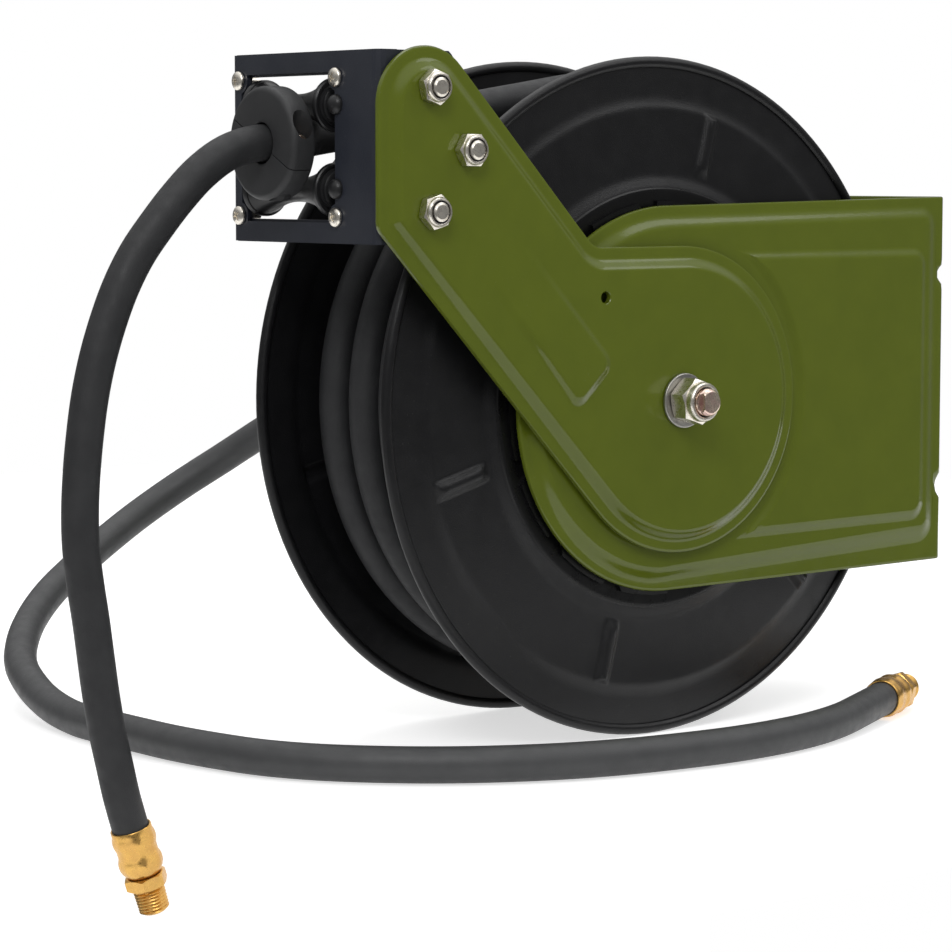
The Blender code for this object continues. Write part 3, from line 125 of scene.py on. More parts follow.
def node(tree, kind, inputs, **settings):
    made = tree.nodes.new(kind)
    for name, value in settings.items():
        setattr(made, name, value)
    connect(tree, made, inputs)
    return made


def noise(tree, scale, detail):
    """Noise of about scale features per metre, in the piece's own space."""
    where = node(tree, "ShaderNodeTexCoord", {}).outputs["Object"]
    inputs = {"Vector": where, "Scale": scale, "Detail": detail}
    return node(tree, "ShaderNodeTexNoise", inputs).outputs["Fac"]


def ranged(tree, source, low, high, start=0.3, end=0.7, **settings):
    """The source, from start to end, spread over low to high."""
    inputs = {"Value": source, "From Min": start, "From Max": end, "To Min": low, "To Max": high}
    return node(tree, "ShaderNodeMapRange", inputs, **settings).outputs["Result"]


def mixed(tree, kind, factor, a, b):
    inputs = {"Factor": factor, "A": a, "B": b}
    return node(tree, "ShaderNodeMix", inputs, data_type=kind).outputs["Result"]


def bump(tree, strength, source):
    inputs = {"Strength": strength, "Distance": BUMP_DEPTH, "Height": source}
    return node(tree, "ShaderNodeBump", inputs)


def finish(name, colour, second, rough, metal=0, specular=0.5, coat=0, cloud=60, grain=1500,
           relief=0.06, wave=0, specks=0, speck_colour=(0.2, 0.2, 0.18, 1)):
    """Two close colours clouded together, with uneven gloss, fine relief, a slow wave and specks."""
    made = bpy.data.materials.new(name)
    made.use_nodes = True
    tree = made.node_tree
    clouds = ranged(tree, noise(tree, cloud, 4), 0, 1)
    blend = mixed(tree, "RGBA", clouds, (*colour, 1), (*second, 1))
    if specks:
        dust = ranged(tree, noise(tree, DUST_SCALE, 1), 0, specks, 0.74, 0.8)
        blend = mixed(tree, "RGBA", dust, blend, speck_colour)
    fine = bump(tree, relief, noise(tree, grain, 2))
    if wave:
        slow = bump(tree, wave, noise(tree, WAVE_SCALE, 1))
        connect(tree, fine, {"Normal": slow.outputs["Normal"]})
    connect(tree, tree.nodes["Principled BSDF"], {
        "Base Color": blend, "Metallic": metal, "Specular IOR Level": specular,
        "Roughness": ranged(tree, noise(tree, cloud * PATCH_SHARE, 3), *rough),
        "Coat Weight": coat, "Coat Roughness": COAT_ROUGHNESS, "Normal": fine.outputs["Normal"]})
    FINISHES[name] = made


finish("green_paint", (0.112, 0.143, 0.0115), (0.103, 0.133, 0.0105), (0.09, 0.16), specular=0.34,
       coat=0.1, grain=700, relief=0.03, wave=0.12, specks=0.35, speck_colour=(0.2, 0.22, 0.12, 1))
finish("black_paint", (0.0062, 0.0062, 0.007), (0.0085, 0.0085, 0.0094), (0.28, 0.4), specular=0.34,
       grain=2300, relief=0.16, specks=0.2)
# A darker black than black_paint: painted shade for the ratchet ring and the near boss, which the bracket
# shades
finish("painted_shade_black", (0.0028, 0.0028, 0.003), (0.0045, 0.0045, 0.005), (0.24, 0.36), specular=0.3,
       grain=2100, relief=0.1)
finish("graphite_paint", (0.021, 0.024, 0.034), (0.028, 0.031, 0.041), (0.3, 0.42), specular=0.4,
       relief=0.08, specks=0.3)
finish("hose_rubber", (0.019, 0.0195, 0.021), (0.026, 0.0265, 0.028), (0.5, 0.66), specular=0.4,
       cloud=90, grain=1900, relief=0.14)
finish("worn_rubber", (0.05, 0.051, 0.053), (0.062, 0.063, 0.065), (0.42, 0.56), specular=0.45,
       cloud=90, grain=1900, relief=0.14)
finish("black_rubber", (0.024, 0.0245, 0.026), (0.031, 0.0315, 0.033), (0.46, 0.6), specular=0.4,
       grain=1700, relief=0.12)
finish("zinc", (0.86, 0.81, 0.72), (0.74, 0.7, 0.63), (0.22, 0.4), metal=1, cloud=240, grain=1600)
finish("grey_zinc", (0.44, 0.43, 0.4), (0.36, 0.35, 0.33), (0.3, 0.46), metal=1, cloud=260, grain=1800,
       relief=0.12)
finish("bolt_zinc", (0.8, 0.7, 0.55), (0.72, 0.5, 0.46), (0.18, 0.32), metal=1, cloud=200, grain=1600)
finish("brass", (0.72, 0.43, 0.12), (0.62, 0.36, 0.11), (0.22, 0.36), metal=1, cloud=220, relief=0.07)
finish("spring_steel", (0.2, 0.2, 0.22), (0.15, 0.15, 0.18), (0.28, 0.42), metal=1, cloud=150)
finish("nylon", (0.7, 0.7, 0.66), (0.62, 0.62, 0.57), (0.42, 0.55), grain=1200)
finish("black_nylon", (0.011, 0.011, 0.012), (0.016, 0.016, 0.017), (0.28, 0.42), specular=0.4)
finish("insert_nylon", (0.03, 0.03, 0.034), (0.05, 0.05, 0.055), (0.4, 0.5), relief=0.02)

# Nodes that get another finish than their slot: the ratchet ring gets a darker black, which is painted shade
# under the bracket
NODE_FINISHES = {"ratchet_ring": "painted_shade_black"}
for part in frame["record"]["subparts"]:
    carried = frame["nodes"][part["node"]]
    carried.data.materials.clear()
    coat = NODE_FINISHES.get(part["node"], part["material_slot"])
    carried.data.materials.append(FINISHES[coat])


# Objects and the camera


def linked(name, data):
    obj = bpy.data.objects.new(name, data)
    scene.collection.objects.link(obj)
    return obj


def shown(name, data, coat, body, nodes):
    """A piece's object: it rides on the body and stands for the nodes."""
    data.materials.append(FINISHES[coat])
    obj = linked(name, data)
    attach(obj, body)
    if nodes:
        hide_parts(*nodes)
    return obj


CAMERA_LENS = 121.64
CAMERA_PLACE = (-1.12291, -1.10646, 0.101)  # metres
CAMERA_SIDE, CAMERA_LIFT = radians(-38.624), radians(5.458)

camera = linked("camera", bpy.data.cameras.new("camera"))
camera.data.lens = CAMERA_LENS
camera.data.clip_start, camera.data.clip_end = 0.05, 60
camera.location = CAMERA_PLACE
camera.rotation_euler = (radians(90) - CAMERA_LIFT, 0, CAMERA_SIDE)
scene.camera = camera


# Cords: the hose's two free ends


def vec(*place):
    return Vector(place)


def world(point):
    """A place in metres from the frame's origin, for one in millimetres from the axle."""
    return Vector((AXLE_X + point[0], point[1], point[2])) * MM


def mix(p, q, start, end, t):
    """The point for t on the line that runs from p at start to q at end."""
    return p * (end - t) / (end - start) + q * (t - start) / (end - start)


def smooth_route(knots, spacing):
    """Points at even steps along a smooth curve through the knots."""
    knots = [Vector(k) for k in knots]
    ends = [2 * knots[0] - knots[1]] + knots + [2 * knots[-1] - knots[-2]]
    dense = []
    for p0, p1, p2, p3 in zip(ends, ends[1:], ends[2:], ends[3:]):
        t1 = (p1 - p0).length ** 0.5
        t2 = t1 + (p2 - p1).length ** 0.5
        t3 = t2 + (p3 - p2).length ** 0.5
        for k in range(20):
            t = t1 + (t2 - t1) * k / 20
            a1, a2, a3 = mix(p0, p1, 0, t1, t), mix(p1, p2, t1, t2, t), mix(p2, p3, t2, t3, t)
            b1, b2 = mix(a1, a2, 0, t2, t), mix(a2, a3, t1, t3, t)
            dense.append(mix(b1, b2, t1, t2, t))
    dense.append(knots[-1])
    length = sum((b - a).length for a, b in zip(dense, dense[1:]))
    count = round(length / spacing)
    points = [dense[0]]
    walked = 0
    for a, b in zip(dense, dense[1:]):
        step = (b - a).length
        while len(points) < count and walked + step >= length * len(points) / count:
            points.append(a.lerp(b, (length * len(points) / count - walked) / step))
        walked += step
    points.append(dense[-1])
    return points


def hose(name, points, body, nodes, fineness=9, coat="hose_rubber"):
    """A round hose as one smooth open curve through the points."""
    data = bpy.data.curves.new(name, "CURVE")
    data.dimensions = "3D"
    data.bevel_depth = HOSE_RADIUS * MM
    data.bevel_resolution = fineness
    data.resolution_u = 5
    data.use_fill_caps = True
    spline = data.splines.new("BEZIER")
    spline.bezier_points.add(len(points) - 1)
    for i, (bend, point) in enumerate(zip(spline.bezier_points, points)):
        before, after = points[max(i - 1, 0)], points[min(i + 1, len(points) - 1)]
        along = (after - before).normalized()
        bend.handle_left_type = bend.handle_right_type = "FREE"
        bend.co = world(point)
        bend.handle_left = world(point - along * max((point - before).length, 1) / 3)
        bend.handle_right = world(point + along * max((after - point).length, 1) / 3)
    return shown(name, data, coat, body, nodes)


STOPPER_MIDDLE = STOPPER_BACK - STOPPER_LENGTH / 2
DOWN = vec(0.302, 0, -0.953).normalized()
OUTLET_START = vec(STOPPER_MIDDLE - GAP / 2, STOPPER_Y, STOPPER_Z)
OUTLET_END = vec(-234.2, 0, -204.8) - DOWN * FITTING_REACH
knots = [(STOPPER_BACK - STOPPER_LENGTH - 2, STOPPER_Y, STOPPER_Z), (-198.4, 1, 106), (-210.5, 0.6, 97.5),
         (-224.4, 0, 84.5), (-243.9, 0, 60.2), (-259.1, 0, 24.3), (-266.1, 0, -11.7), (-268, 0, -48),
         (-263.2, 0, -83.6), (-257.5, 0, -122), OUTLET_END - DOWN * 28]
route = [OUTLET_START] + smooth_route(knots, 15) + [OUTLET_END]
outlet_hose = hose("outlet_hose_tube", route, "guide", ["outlet_hose"])

ALONG = vec(0.894, 0.447, 0).normalized()
LEVEL = -FLANGE_RADIUS + HOSE_RADIUS + 0.2  # middle of the hose where it lies on the ground
INLET_START = vec(0, SHAFT_FAR_END + 14.7, 0)
INLET_END = vec(119.4, -78.3, -FLANGE_RADIUS + 9.5)
ground = ((-204, 115), (-206, 70), (-204, 20), (-190, -34), (-151, -79), (-99, -108), (-44, -120),
          (0, -121), (45, -112))
knots = [INLET_START + vec(0, 16, 0), (-1, 160, -3), (-6, 210, -18), (-27, 246, -43),
         (-60, 262, -66), (-99, 256, -86), (-149, 231, -109), (-186, 188, -127), (-199, 150, -137)]
knots += [(x, y, LEVEL) for x, y in ground] + [(78, -98.5, LEVEL + 1), INLET_END - ALONG * 18]
route = [INLET_START] + smooth_route(knots, 26) + [INLET_END]
inlet_hose = hose("inlet_hose_tube", route, "bracket", ["inlet_hose"], coat="worn_rubber")


# Shapes


class Shape:
    """Points in millimetres and the faces between them, empty or a closed skin through rows.

    With loop the last row meets the first; without it the ends are capped.
    """

    def __init__(self, rows=(), loop=False):
        self.points = []
        self.faces = []
        rows = [self.row(places) for places in rows]
        self.strips(rows, rows[1:])
        if loop:
            self.strip(rows[-1], rows[0])
        elif rows:
            self.faces += [tuple(reversed(rows[0])), tuple(rows[-1])]

    def row(self, places):
        start = len(self.points)
        self.points += [tuple(p) for p in places]
        return list(range(start, len(self.points)))

    def strip(self, one, other):
        """Quads between two closed rows of as many points."""
        for i in range(len(one)):
            j = (i + 1) % len(one)
            self.faces.append((one[i], one[j], other[j], other[i]))

    def strips(self, ones, others):
        for one, other in zip(ones, others):
            self.strip(one, other)

    def fill(self, outer, inner=(), lines=()):
        """Triangles between an outer row and the rows inside it, drawn flat in the first two axes."""
        rows = [outer, *inner]
        spots, edges, owners = [], [], []
        for row, closed in [(row, True) for row in rows] + [(line, False) for line in lines]:
            start = len(spots)
            spots += [Vector(self.points[i][:2]) for i in row]
            owners += row
            last = len(row) if closed else len(row) - 1
            edges += [(start + i, start + (i + 1) % len(row)) for i in range(last)]
        found, _, faces, origins, _, _ = delaunay_2d_cdt(spots, edges, [], 0, 1e-5, True)
        loops = [[self.points[i][:2] for i in row] for row in rows]
        names = [owners[origin[0]] if origin else None for origin in origins]
        for face in faces:
            if any(names[i] is None for i in face):
                continue
            x = sum(found[i].x for i in face) / len(face)
            y = sum(found[i].y for i in face) / len(face)
            if within(loops[0], x, y) and not any(within(loop, x, y) for loop in loops[1:]):
                self.faces.append(tuple(names[i] for i in face))


def within(loop, x, y):
    inside = False
    for (x0, y0), (x1, y1) in zip(loop, loop[1:] + loop[:1]):
        if (y0 > y) != (y1 > y) and x < x0 + (x1 - x0) * (y - y0) / (y1 - y0):
            inside = not inside
    return inside


def piece(name, shape, coat, body, nodes=(), place=Matrix(), angle=32):
    """The shape as a piece, with edges sharper than the angle left sharp."""
    work = bmesh.new()
    spots = [work.verts.new(world(place @ Vector(point))) for point in shape.points]
    for face in shape.faces:
        work.faces.new([spots[i] for i in face])
    loose = [v for v in work.verts if not v.link_faces]
    bmesh.ops.delete(work, geom=loose, context="VERTS")
    bmesh.ops.recalc_face_normals(work, faces=work.faces)
    data = bpy.data.meshes.new(name)
    work.to_mesh(data)
    work.free()
    data.shade_smooth()
    data.set_sharp_from_angle(angle=radians(angle))
    return shown(name, data, coat, body, nodes)


def flat_faced(obj):
    """Keeps the large faces of a pressed sheet flat beside its rounded edges."""
    even = obj.modifiers.new("flat", "WEIGHTED_NORMAL")
    even.keep_sharp = True
    even.weight = 80


NEAR, FAR, OUT = (0, -1, 0), (0, 1, 0), (-1, 0, 0)
# A sheet drawn in X and Z, with its height out from the near or the far side
NEAR_SHEET = Matrix(((1, 0, 0, 0), (0, 0, -1, 0), (0, 1, 0, 0), (0, 0, 0, 1)))
FAR_SHEET = Matrix(((1, 0, 0, 0), (0, 0, 1, 0), (0, 1, 0, 0), (0, 0, 0, 1)))


def stand(origin, axis, turn=0):
    """Puts a shape's local Z along the axis, at the origin."""
    lean = Vector(axis).to_track_quat("Z", "Y").to_matrix().to_4x4()
    return Matrix.Translation(Vector(origin)) @ lean @ Matrix.Rotation(turn, 4, "Z")


def circle(radius, height, steps, centre=(0, 0)):
    """A closed row of points; its radius and height are numbers or functions of the angle."""
    points = []
    for i in range(steps):
        angle = 2 * pi * i / steps
        r = radius(angle) if callable(radius) else radius
        h = height(angle) if callable(height) else height
        points.append((centre[0] + r * cos(angle), centre[1] + r * sin(angle), h))
    return points


def circles(profile, steps):
    """A circle for each (radius, height) of the profile."""
    return [circle(r, h, steps) for r, h in profile]


def arc(centre, radius, start, end, steps):
    points = []
    for i in range(steps + 1):
        angle = start + (end - start) * i / steps
        points.append((centre[0] + radius * cos(angle), centre[1] + radius * sin(angle)))
    return points


def between(start, end, count):
    """The points that cut the line from start to end in count parts, without its ends."""
    return [tuple(Vector(start).lerp(Vector(end), k / count)) for k in range(1, count)]


def rounded(corners, steps):
    """An outline whose corners (a, b, radius) are rounded off by arcs."""
    points = []
    for i, (a, b, radius) in enumerate(corners):
        if radius == 0:
            points.append((a, b))
            continue
        here = Vector((a, b))
        before = (Vector(corners[i - 1][:2]) - here).normalized()
        after = (Vector(corners[(i + 1) % len(corners)][:2]) - here).normalized()
        half = before.angle(after) / 2
        centre = here + (before + after).normalized() * radius / sin(half)
        first = here + before * radius / math.tan(half) - centre
        turn = pi - 2 * half
        if before.x * after.y - before.y * after.x > 0:
            turn = -turn
        start = math.atan2(first.y, first.x)
        points += arc(centre, radius, start, start + turn, steps)
    return points


def inset(outline, distance):
    """The outline moved inwards; it runs anticlockwise."""
    points = []
    for i, point in enumerate(outline):
        here = Vector(point)
        along_in = (here - Vector(outline[i - 1])).normalized()
        along_out = (Vector(outline[(i + 1) % len(outline)]) - here).normalized()
        normal_in = Vector((-along_in.y, along_in.x))
        normal_out = Vector((-along_out.y, along_out.x))
        middle = (normal_in + normal_out).normalized()
        points.append(tuple(here + middle * distance / middle.dot(normal_in)))
    return points


def eased(t):
    t = min(1, max(0, t))
    return t * t * (3 - 2 * t)


def swell(t):
    """A softer start and end than eased gives."""
    t = min(1, max(0, t))
    return (1 - cos(pi * t)) / 2


def turned(name, profile, coat, body, nodes, place, steps=72, radius=0.4, loop=True):
    """A turned piece: a profile of (radius, height) goes round local Z, its corners eased by radius."""
    corners = []
    last = len(profile) - 1
    for i, (r, h) in enumerate(profile):
        here = Vector((r, h))
        before, after = here - Vector(profile[i - 1]), Vector(profile[(i + 1) % len(profile)]) - here
        room = min(before.length, after.length) * 0.45
        sharp = before.normalized().dot(after.normalized()) < 0.94
        ease = min(radius, room) if sharp and r > 0.3 and (loop or 0 < i < last) else 0
        corners.append((r, h, ease))
    piece(name, Shape(circles(rounded(corners, 3), steps), loop), coat, body, nodes, place)


# Hose on the spool: one tube that comes up from the inner layer, winds, and goes down again

WINDING_START = 250  # degrees
OUTER_SPAN = 930  # degrees that the outer layer covers
DIVE = 46  # degrees in which the hose goes down a layer
CROSSING, CROSSING_LEAD = 70, 110  # degrees of each crossing, and how far before the full turn it starts
INNER_PITCH = 15.6
END_SHIFT, END_TURN = 2.5, 120  # the inner end moves over by the shift in these degrees
WOUND = range(-506, 1310, 12)  # degrees at the wound hose's points


def on_circle(radius, degrees, y):
    angle = radians(degrees)
    return vec(radius * cos(angle), y, radius * sin(angle))


def winding_point(turned_by):
    """Point of the wound hose at an angle, in degrees, from where the outer layer starts."""
    down = max(-turned_by, turned_by - OUTER_SPAN, 0)
    radius = LAYER_RADIUS + (INNER_RADIUS - LAYER_RADIUS) * swell(down / DIVE)
    lane = FAR_LANE
    for crossing in (1, 2):
        lane -= TURN_PITCH * swell((turned_by - 360 * crossing + CROSSING_LEAD) / CROSSING)
    if turned_by < 0:
        lane -= INNER_PITCH * max(0, down - DIVE) / 360
    else:
        lane -= END_SHIFT * swell((down - DIVE) / END_TURN)
    return on_circle(radius, WINDING_START - turned_by, lane)


hose("wound_hose", [winding_point(t) for t in WOUND], "spool", ["hose_winding"], fineness=6)

# The deepest layer shows only as rounded ridges between the turns above it
DEEP_RADIUS, DEEP_WIDTH = 88.4, 46.2
RIDGES, RIDGE_PITCH, RIDGE_HEIGHT, RIDGE_HALF = 6, 15.48, 7.2, 7.9
ridges = [(DEEP_RADIUS, -DEEP_WIDTH)]
for k in range(RIDGES):
    y = RIDGE_PITCH * (k - (RIDGES - 1) / 2)
    for a in (-7.2, -5.6, -3.2, 0, 3.2, 5.6, 7.2):
        ridges.append((DEEP_RADIUS + RIDGE_HEIGHT * math.sqrt(1 - (a / RIDGE_HALF) ** 2), y + a))
ridges.append((DEEP_RADIUS, DEEP_WIDTH))
shape = Shape(circles(ridges, 96), loop=True)
piece("inner_turns", shape, "hose_rubber", "spool", ["hose_core"], stand((0, 0, 0), FAR), 60)

# The lead, from the stopper back between the rollers, over the spool and down beside the near flange
SIDE_TURN = 60  # degrees in which it moves over to its lane
SINK_START, SINK_TURN = 54, 114  # degrees at which it starts to come down, and in which it does
aim = vec(ROLLER_X, STOPPER_Y, STOPPER_Z + 1.8)
lift_off = math.degrees(math.atan2(aim.z, aim.x) - math.acos(LEAD_RADIUS / math.hypot(aim.x, aim.z)))
tangent = on_circle(LEAD_RADIUS, lift_off, LEAD_Y)
route = [vec(STOPPER_MIDDLE + GAP / 2, STOPPER_Y, STOPPER_Z), vec(GUIDE_X, STOPPER_Y, STOPPER_Z)]
route += [vec(ROLLER_X - 2, STOPPER_Y, STOPPER_Z + 0.6)]
route += [aim.lerp(tangent, k / 6) for k in range(6)]
for turned_by in range(0, 240, 8):
    lane = LEAD_Y + (GROOVE_LANE - LEAD_Y) * swell(turned_by / SIDE_TURN)
    radius = LEAD_RADIUS + (GROOVE_RADIUS - LEAD_RADIUS) * swell((turned_by - SINK_START) / SINK_TURN)
    route.append(on_circle(radius, lift_off - turned_by, lane))
hose("lead_hose", route, "guide", ["hose_lead"], fineness=8)


# Flanges: fine pressed discs with six ribs and a rolled rim

RIBS, FIRST_RIB = 6, 15.5  # degrees
RIB_LINES = (-5.4, -4.4, -3.6, -2.4, -1.4, 0, 1.4, 2.4, 3.6, 4.4, 5.4)  # lines of points on a rib
RIB_RISE, RIB_HALF, RIB_SLOPE = 2.3, 4.4, 3
RIB_START, RIB_END, RIB_END_SLOPE = 100.5, 128.5, 2.4
STRAIGHT_RADIUS = 60  # below it the lines of points run straight to the hub
FLAT_RADIUS = 91  # below it the boss is flat and its steps are wide


def flange_face(hub):
    """The outer face as (radius, height), from the hub to the rolled rim, with its bends eased."""
    corners = [(hub - 5, BOSS_RISE, 0), (hub, BOSS_RISE, 0), (92.5, BOSS_RISE, 1.8), (98, 2.9, 1.8),
               (127.5, 2.9, 1.5), (131.5, 1.4, 2.5), (FLANGE_RADIUS - 5.2, 0.7, 1),
               (FLANGE_RADIUS - 2, 0.3, 0)]
    face = []
    for before, (r, h, ease), after in zip(corners, corners[1:], corners[2:]):
        here = Vector((r, h))
        start = here + (Vector(before[:2]) - here).normalized() * ease
        end = here + (Vector(after[:2]) - here).normalized() * ease
        for t in (0, 0.25, 0.5, 0.75, 1) if ease else (0,):
            face.append(tuple(start * (1 - t) ** 2 + here * 2 * t * (1 - t) + end * t * t))
    dense = []
    for (r0, h0), (r1, h1) in zip(face, face[1:]):
        count = max(1, round((r1 - r0) / (9 if r1 < FLAT_RADIUS else 3)))
        dense += [(r0 + (r1 - r0) * k / count, h0 + (h1 - h0) * k / count) for k in range(count)]
    return dense + [face[-1]]


def rib_rise(r, v):
    """How far a rib stands up at radius r, v to the side of its middle line."""
    along = min((r - RIB_START) / RIB_SLOPE, (RIB_END - r) / RIB_END_SLOPE)
    across = (RIB_HALF - abs(v)) / RIB_SLOPE
    return RIB_RISE * max(0, min(1, along, across))


def flange(name, nodes, hub, place):
    """A pressed disc: its outer face, the bead round its rim and its inner face are one skin."""
    face = flange_face(hub)
    bead = arc((FLANGE_RADIUS - RIM_BEAD, 0), RIM_BEAD, radians(150), radians(-150), 15)
    rows = face + bead + [(r, h - FLANGE_SHEET) for r, h in face[::-1]]
    columns = []
    for rib in range(RIBS):
        start = FIRST_RIB + 360 / RIBS * rib
        columns += [(start, v) for v in RIB_LINES]
        columns += [(start + 360 / RIBS * k / 26, None) for k in range(2, 25)]
    skin = []
    for r, h in rows:
        places = []
        for start, v in columns:
            angle = radians(start)
            rise = 0
            if v is not None:
                angle += math.asin(v / r) if r > STRAIGHT_RADIUS else v / STRAIGHT_RADIUS
                rise = rib_rise(r, v)
            places.append((r * cos(angle), r * sin(angle), RIM_Y + h + rise))
        skin.append(places)
    piece(name, Shape(skin, loop=True), "black_paint", "spool", nodes, place, 40)


flange("near_disc", ["near_flange"], 12.5, NEAR_SHEET)
flange("far_disc", ["far_flange"], 16.5, FAR_SHEET)
# A thin darker disc laid on the near boss: painted shade where the bracket's ear shades it
shade_disc_profile = [(60, 49.5), (92.8, 49.5), (92.8, 49.8), (92.2, 50.4), (91.3, 50.6), (90.4, 50.4), (60, 50.3)]
turned("boss_shade_disc", shade_disc_profile, "painted_shade_black", "spool", (), stand((0, 0, 0), NEAR), 96, 0)


# Guide arm: one pressed sheet with a raised middle and a long rib

SHEET_EDGE = ((0, 0.9), (0.26, 0.26), (0.9, 0))  # (inset, depth) round the arm's edge
HOLE_EDGE = 0.35
ARM_RIB = ((-60.5, -3.5, 7), (-38, 17.5, 8), (-101, 84, 7), (-122, 67, 7))
ARM_RIB_SLOPE, ARM_RIB_RISE = 4.8, 1.9
FADE_END, FADE_LENGTH = 172, 75


def arm_outline(shrink):
    """The arm's edge moved in by shrink, anticlockwise from the foot of its lower slope."""
    end_radius, top_radius, left = ARM_END_RADIUS - shrink, ARM_TOP_RADIUS - shrink, ARM_LEFT + shrink
    c, s = cos(ARM_LEAN), sin(ARM_LEAN)
    top_x, top_z = ARM_TOP_CENTRE
    neck = (top_x + (top_radius + (top_z - end_radius) * s) / c, end_radius)
    corner = (left, ((ARM_END_X - left) * c - end_radius) / s)
    foot = (ARM_END_X - end_radius * c, -end_radius * s)
    shoulder = (top_x + top_radius * c, top_z + top_radius * s)
    points = arc((ARM_END_X, 0), end_radius, pi + ARM_LEAN, 2.5 * pi, 70)
    bend = rounded([(ARM_END_X, end_radius, 0), (*neck, 10 + shrink), (*shoulder, 0)], 8)[1:-1]
    points += between(points[-1], bend[0], 5) + bend + between(bend[-1], shoulder, 12)
    points += arc(ARM_TOP_CENTRE, top_radius, ARM_LEAN, pi, 24)
    bend = rounded([(left, top_z, 0), (*corner, max(8 - shrink, 1)), (*foot, 0)], 8)[1:-1]
    return points + between(points[-1], bend[0], 8) + bend + between(bend[-1], foot, 14)


def lock_hole(k):
    """Centre of the k-th of the holes that hold the arm at its angle."""
    angle = radians(LOCK_ANGLE + LOCK_STEP * k)
    return LOCK_RADIUS * cos(angle), LOCK_RADIUS * sin(angle)


def holes_in(shape, holes, height, towards):
    """Rows for round holes through a sheet, from the level of its face to just under it."""
    faces, throats = [], []
    for centre, radius in holes:
        outer = shape.row(circle(radius + HOLE_EDGE, height, 28, centre))
        inner = shape.row(circle(radius, height + HOLE_EDGE * towards, 28, centre))
        shape.strip(outer, inner)
        faces.append(outer)
        throats.append(inner)
    return faces, throats


def press(start, width, low, high, steps=7):
    """A pressed slope as (inset, height)."""
    return [(start + width * k / steps, low + (high - low) * eased(k / steps)) for k in range(steps + 1)]


arm = Shape()
arm_holes = [((0, 0), 6.3), (lock_hole(3), 2.6)] + [(bolt, 4.3) for bolt in GUIDE_BOLTS]


def arm_rib(level):
    """Rows of the long rib, which fades out towards the arm's top."""
    base = rounded(ARM_RIB, 7)
    edge = []
    for one, other in zip(base, base[1:] + base[:1]):
        edge += [one] + between(one, other, max(1, round(math.dist(one, other) / 4)))
    rows = []
    for t in (0, 0.2, 0.4, 0.6, 0.8, 1):
        row = []
        for a, b in inset(edge, ARM_RIB_SLOPE * t):
            row.append((a, b, level + ARM_RIB_RISE * eased(t) * eased((FADE_END + a - b) / FADE_LENGTH)))
        rows.append(arm.row(row))
    return rows


def arm_side(levels, towards, ribbed):
    """One side of the arm through its (inset, height) levels; gives back the rows that join the other."""
    rows = [arm.row([(a, b, height) for a, b in arm_outline(shrink)]) for shrink, height in levels]
    arm.strips(rows, rows[1:])
    faces, throats = holes_in(arm, arm_holes, levels[-1][1], towards)
    if ribbed:
        rib = arm_rib(levels[-1][1])
        arm.strips(rib, rib[1:])
        arm.fill(rib[-1])
        faces.append(rib[0])
    arm.fill(rows[-1], faces)
    return [rows[0]] + throats


front_levels = [(shrink, ARM_OUTER - down) for shrink, down in SHEET_EDGE] + [(1.6, ARM_OUTER)]
front_levels += press(4.4, 6.2, ARM_OUTER, ARM_PLATEAU, 9)
back_levels = [(shrink, ARM_INNER + down) for shrink, down in SHEET_EDGE]
back_levels += press(6.4, 6.2, ARM_INNER, ARM_INNER + ARM_RISE, 9)
arm.strips(arm_side(front_levels, -1, True), arm_side(back_levels, 1, False))
flat_faced(piece("arm_plate", arm, "green_paint", "guide", ["guide_arm"], NEAR_SHEET, 35))


# Bracket: one sheet drawn flat, pressed, and bent round its two folds

FOLD = 2.8  # outer radius of the folds
EAR_END = -AXLE_X - FOLD
TURN = FOLD * pi / 2
MIDDLE = EAR_END + TURN + BRACKET_OUTER - FOLD
FOLD_LINES = [EAR_END + TURN * k / 6 for k in range(7)] + [EAR_END + TURN + 3, EAR_END + TURN + 8]
FOLD_HEIGHTS = [-81.4 + 167 * k / 56 for k in range(57)]
EAR_FLARE, FLARE_LENGTH, PLATE_HALF_HEIGHT = 3, 180, 87.9
LOWER_SHARE = 0.047  # how much less the bottom edge widens at the wall
DENT_MIDDLE, DENT_Z, DENT_HALF, DENT_DEPTH, DENT_WIDTH = 1.3, 50, 3.6, 2.6, 4
FIELD_RADIUS, FIELD_END, FIELD_TOP, FIELD_BOTTOM = 81.5, 168.8, 84.5, -75
PANEL_RADIUS, PANEL_END, PANEL_HALF_HEIGHT = 75.5, 160.6, 65
FIELD_PRESS, PANEL_PRESS = press(0, 7.5, 0, EMBOSS_RISE), press(0, 5.5, 0, 1.6)


def mirror(a):
    """The same place on the far ear of the flat sheet."""
    return 2 * MIDDLE - a


def bent(a, b, h):
    """Where a point of the flat bracket goes: a along the sheet, b up, h out from its outer face."""
    sign = -1
    if a > MIDDLE:
        a, sign = mirror(a), 1
    if a <= EAR_END:
        return a, sign * (BRACKET_OUTER + h), b
    if a <= EAR_END + TURN:
        phi = (a - EAR_END) / FOLD
        out = BRACKET_OUTER - FOLD + (FOLD + h) * cos(phi)
        return EAR_END + (FOLD + h) * sin(phi), sign * out, b
    return -AXLE_X + h, sign * (BRACKET_OUTER - FOLD - (a - EAR_END - TURN)), b


def dent(a, b):
    """The two pressed darts that stiffen each fold."""
    near = min(a, mirror(a)) - EAR_END - TURN / 2
    along = math.exp(-((abs(b - DENT_MIDDLE) - DENT_Z) / DENT_HALF) ** 4)
    return -DENT_DEPTH * along * math.exp(-(near / DENT_WIDTH) ** 2)


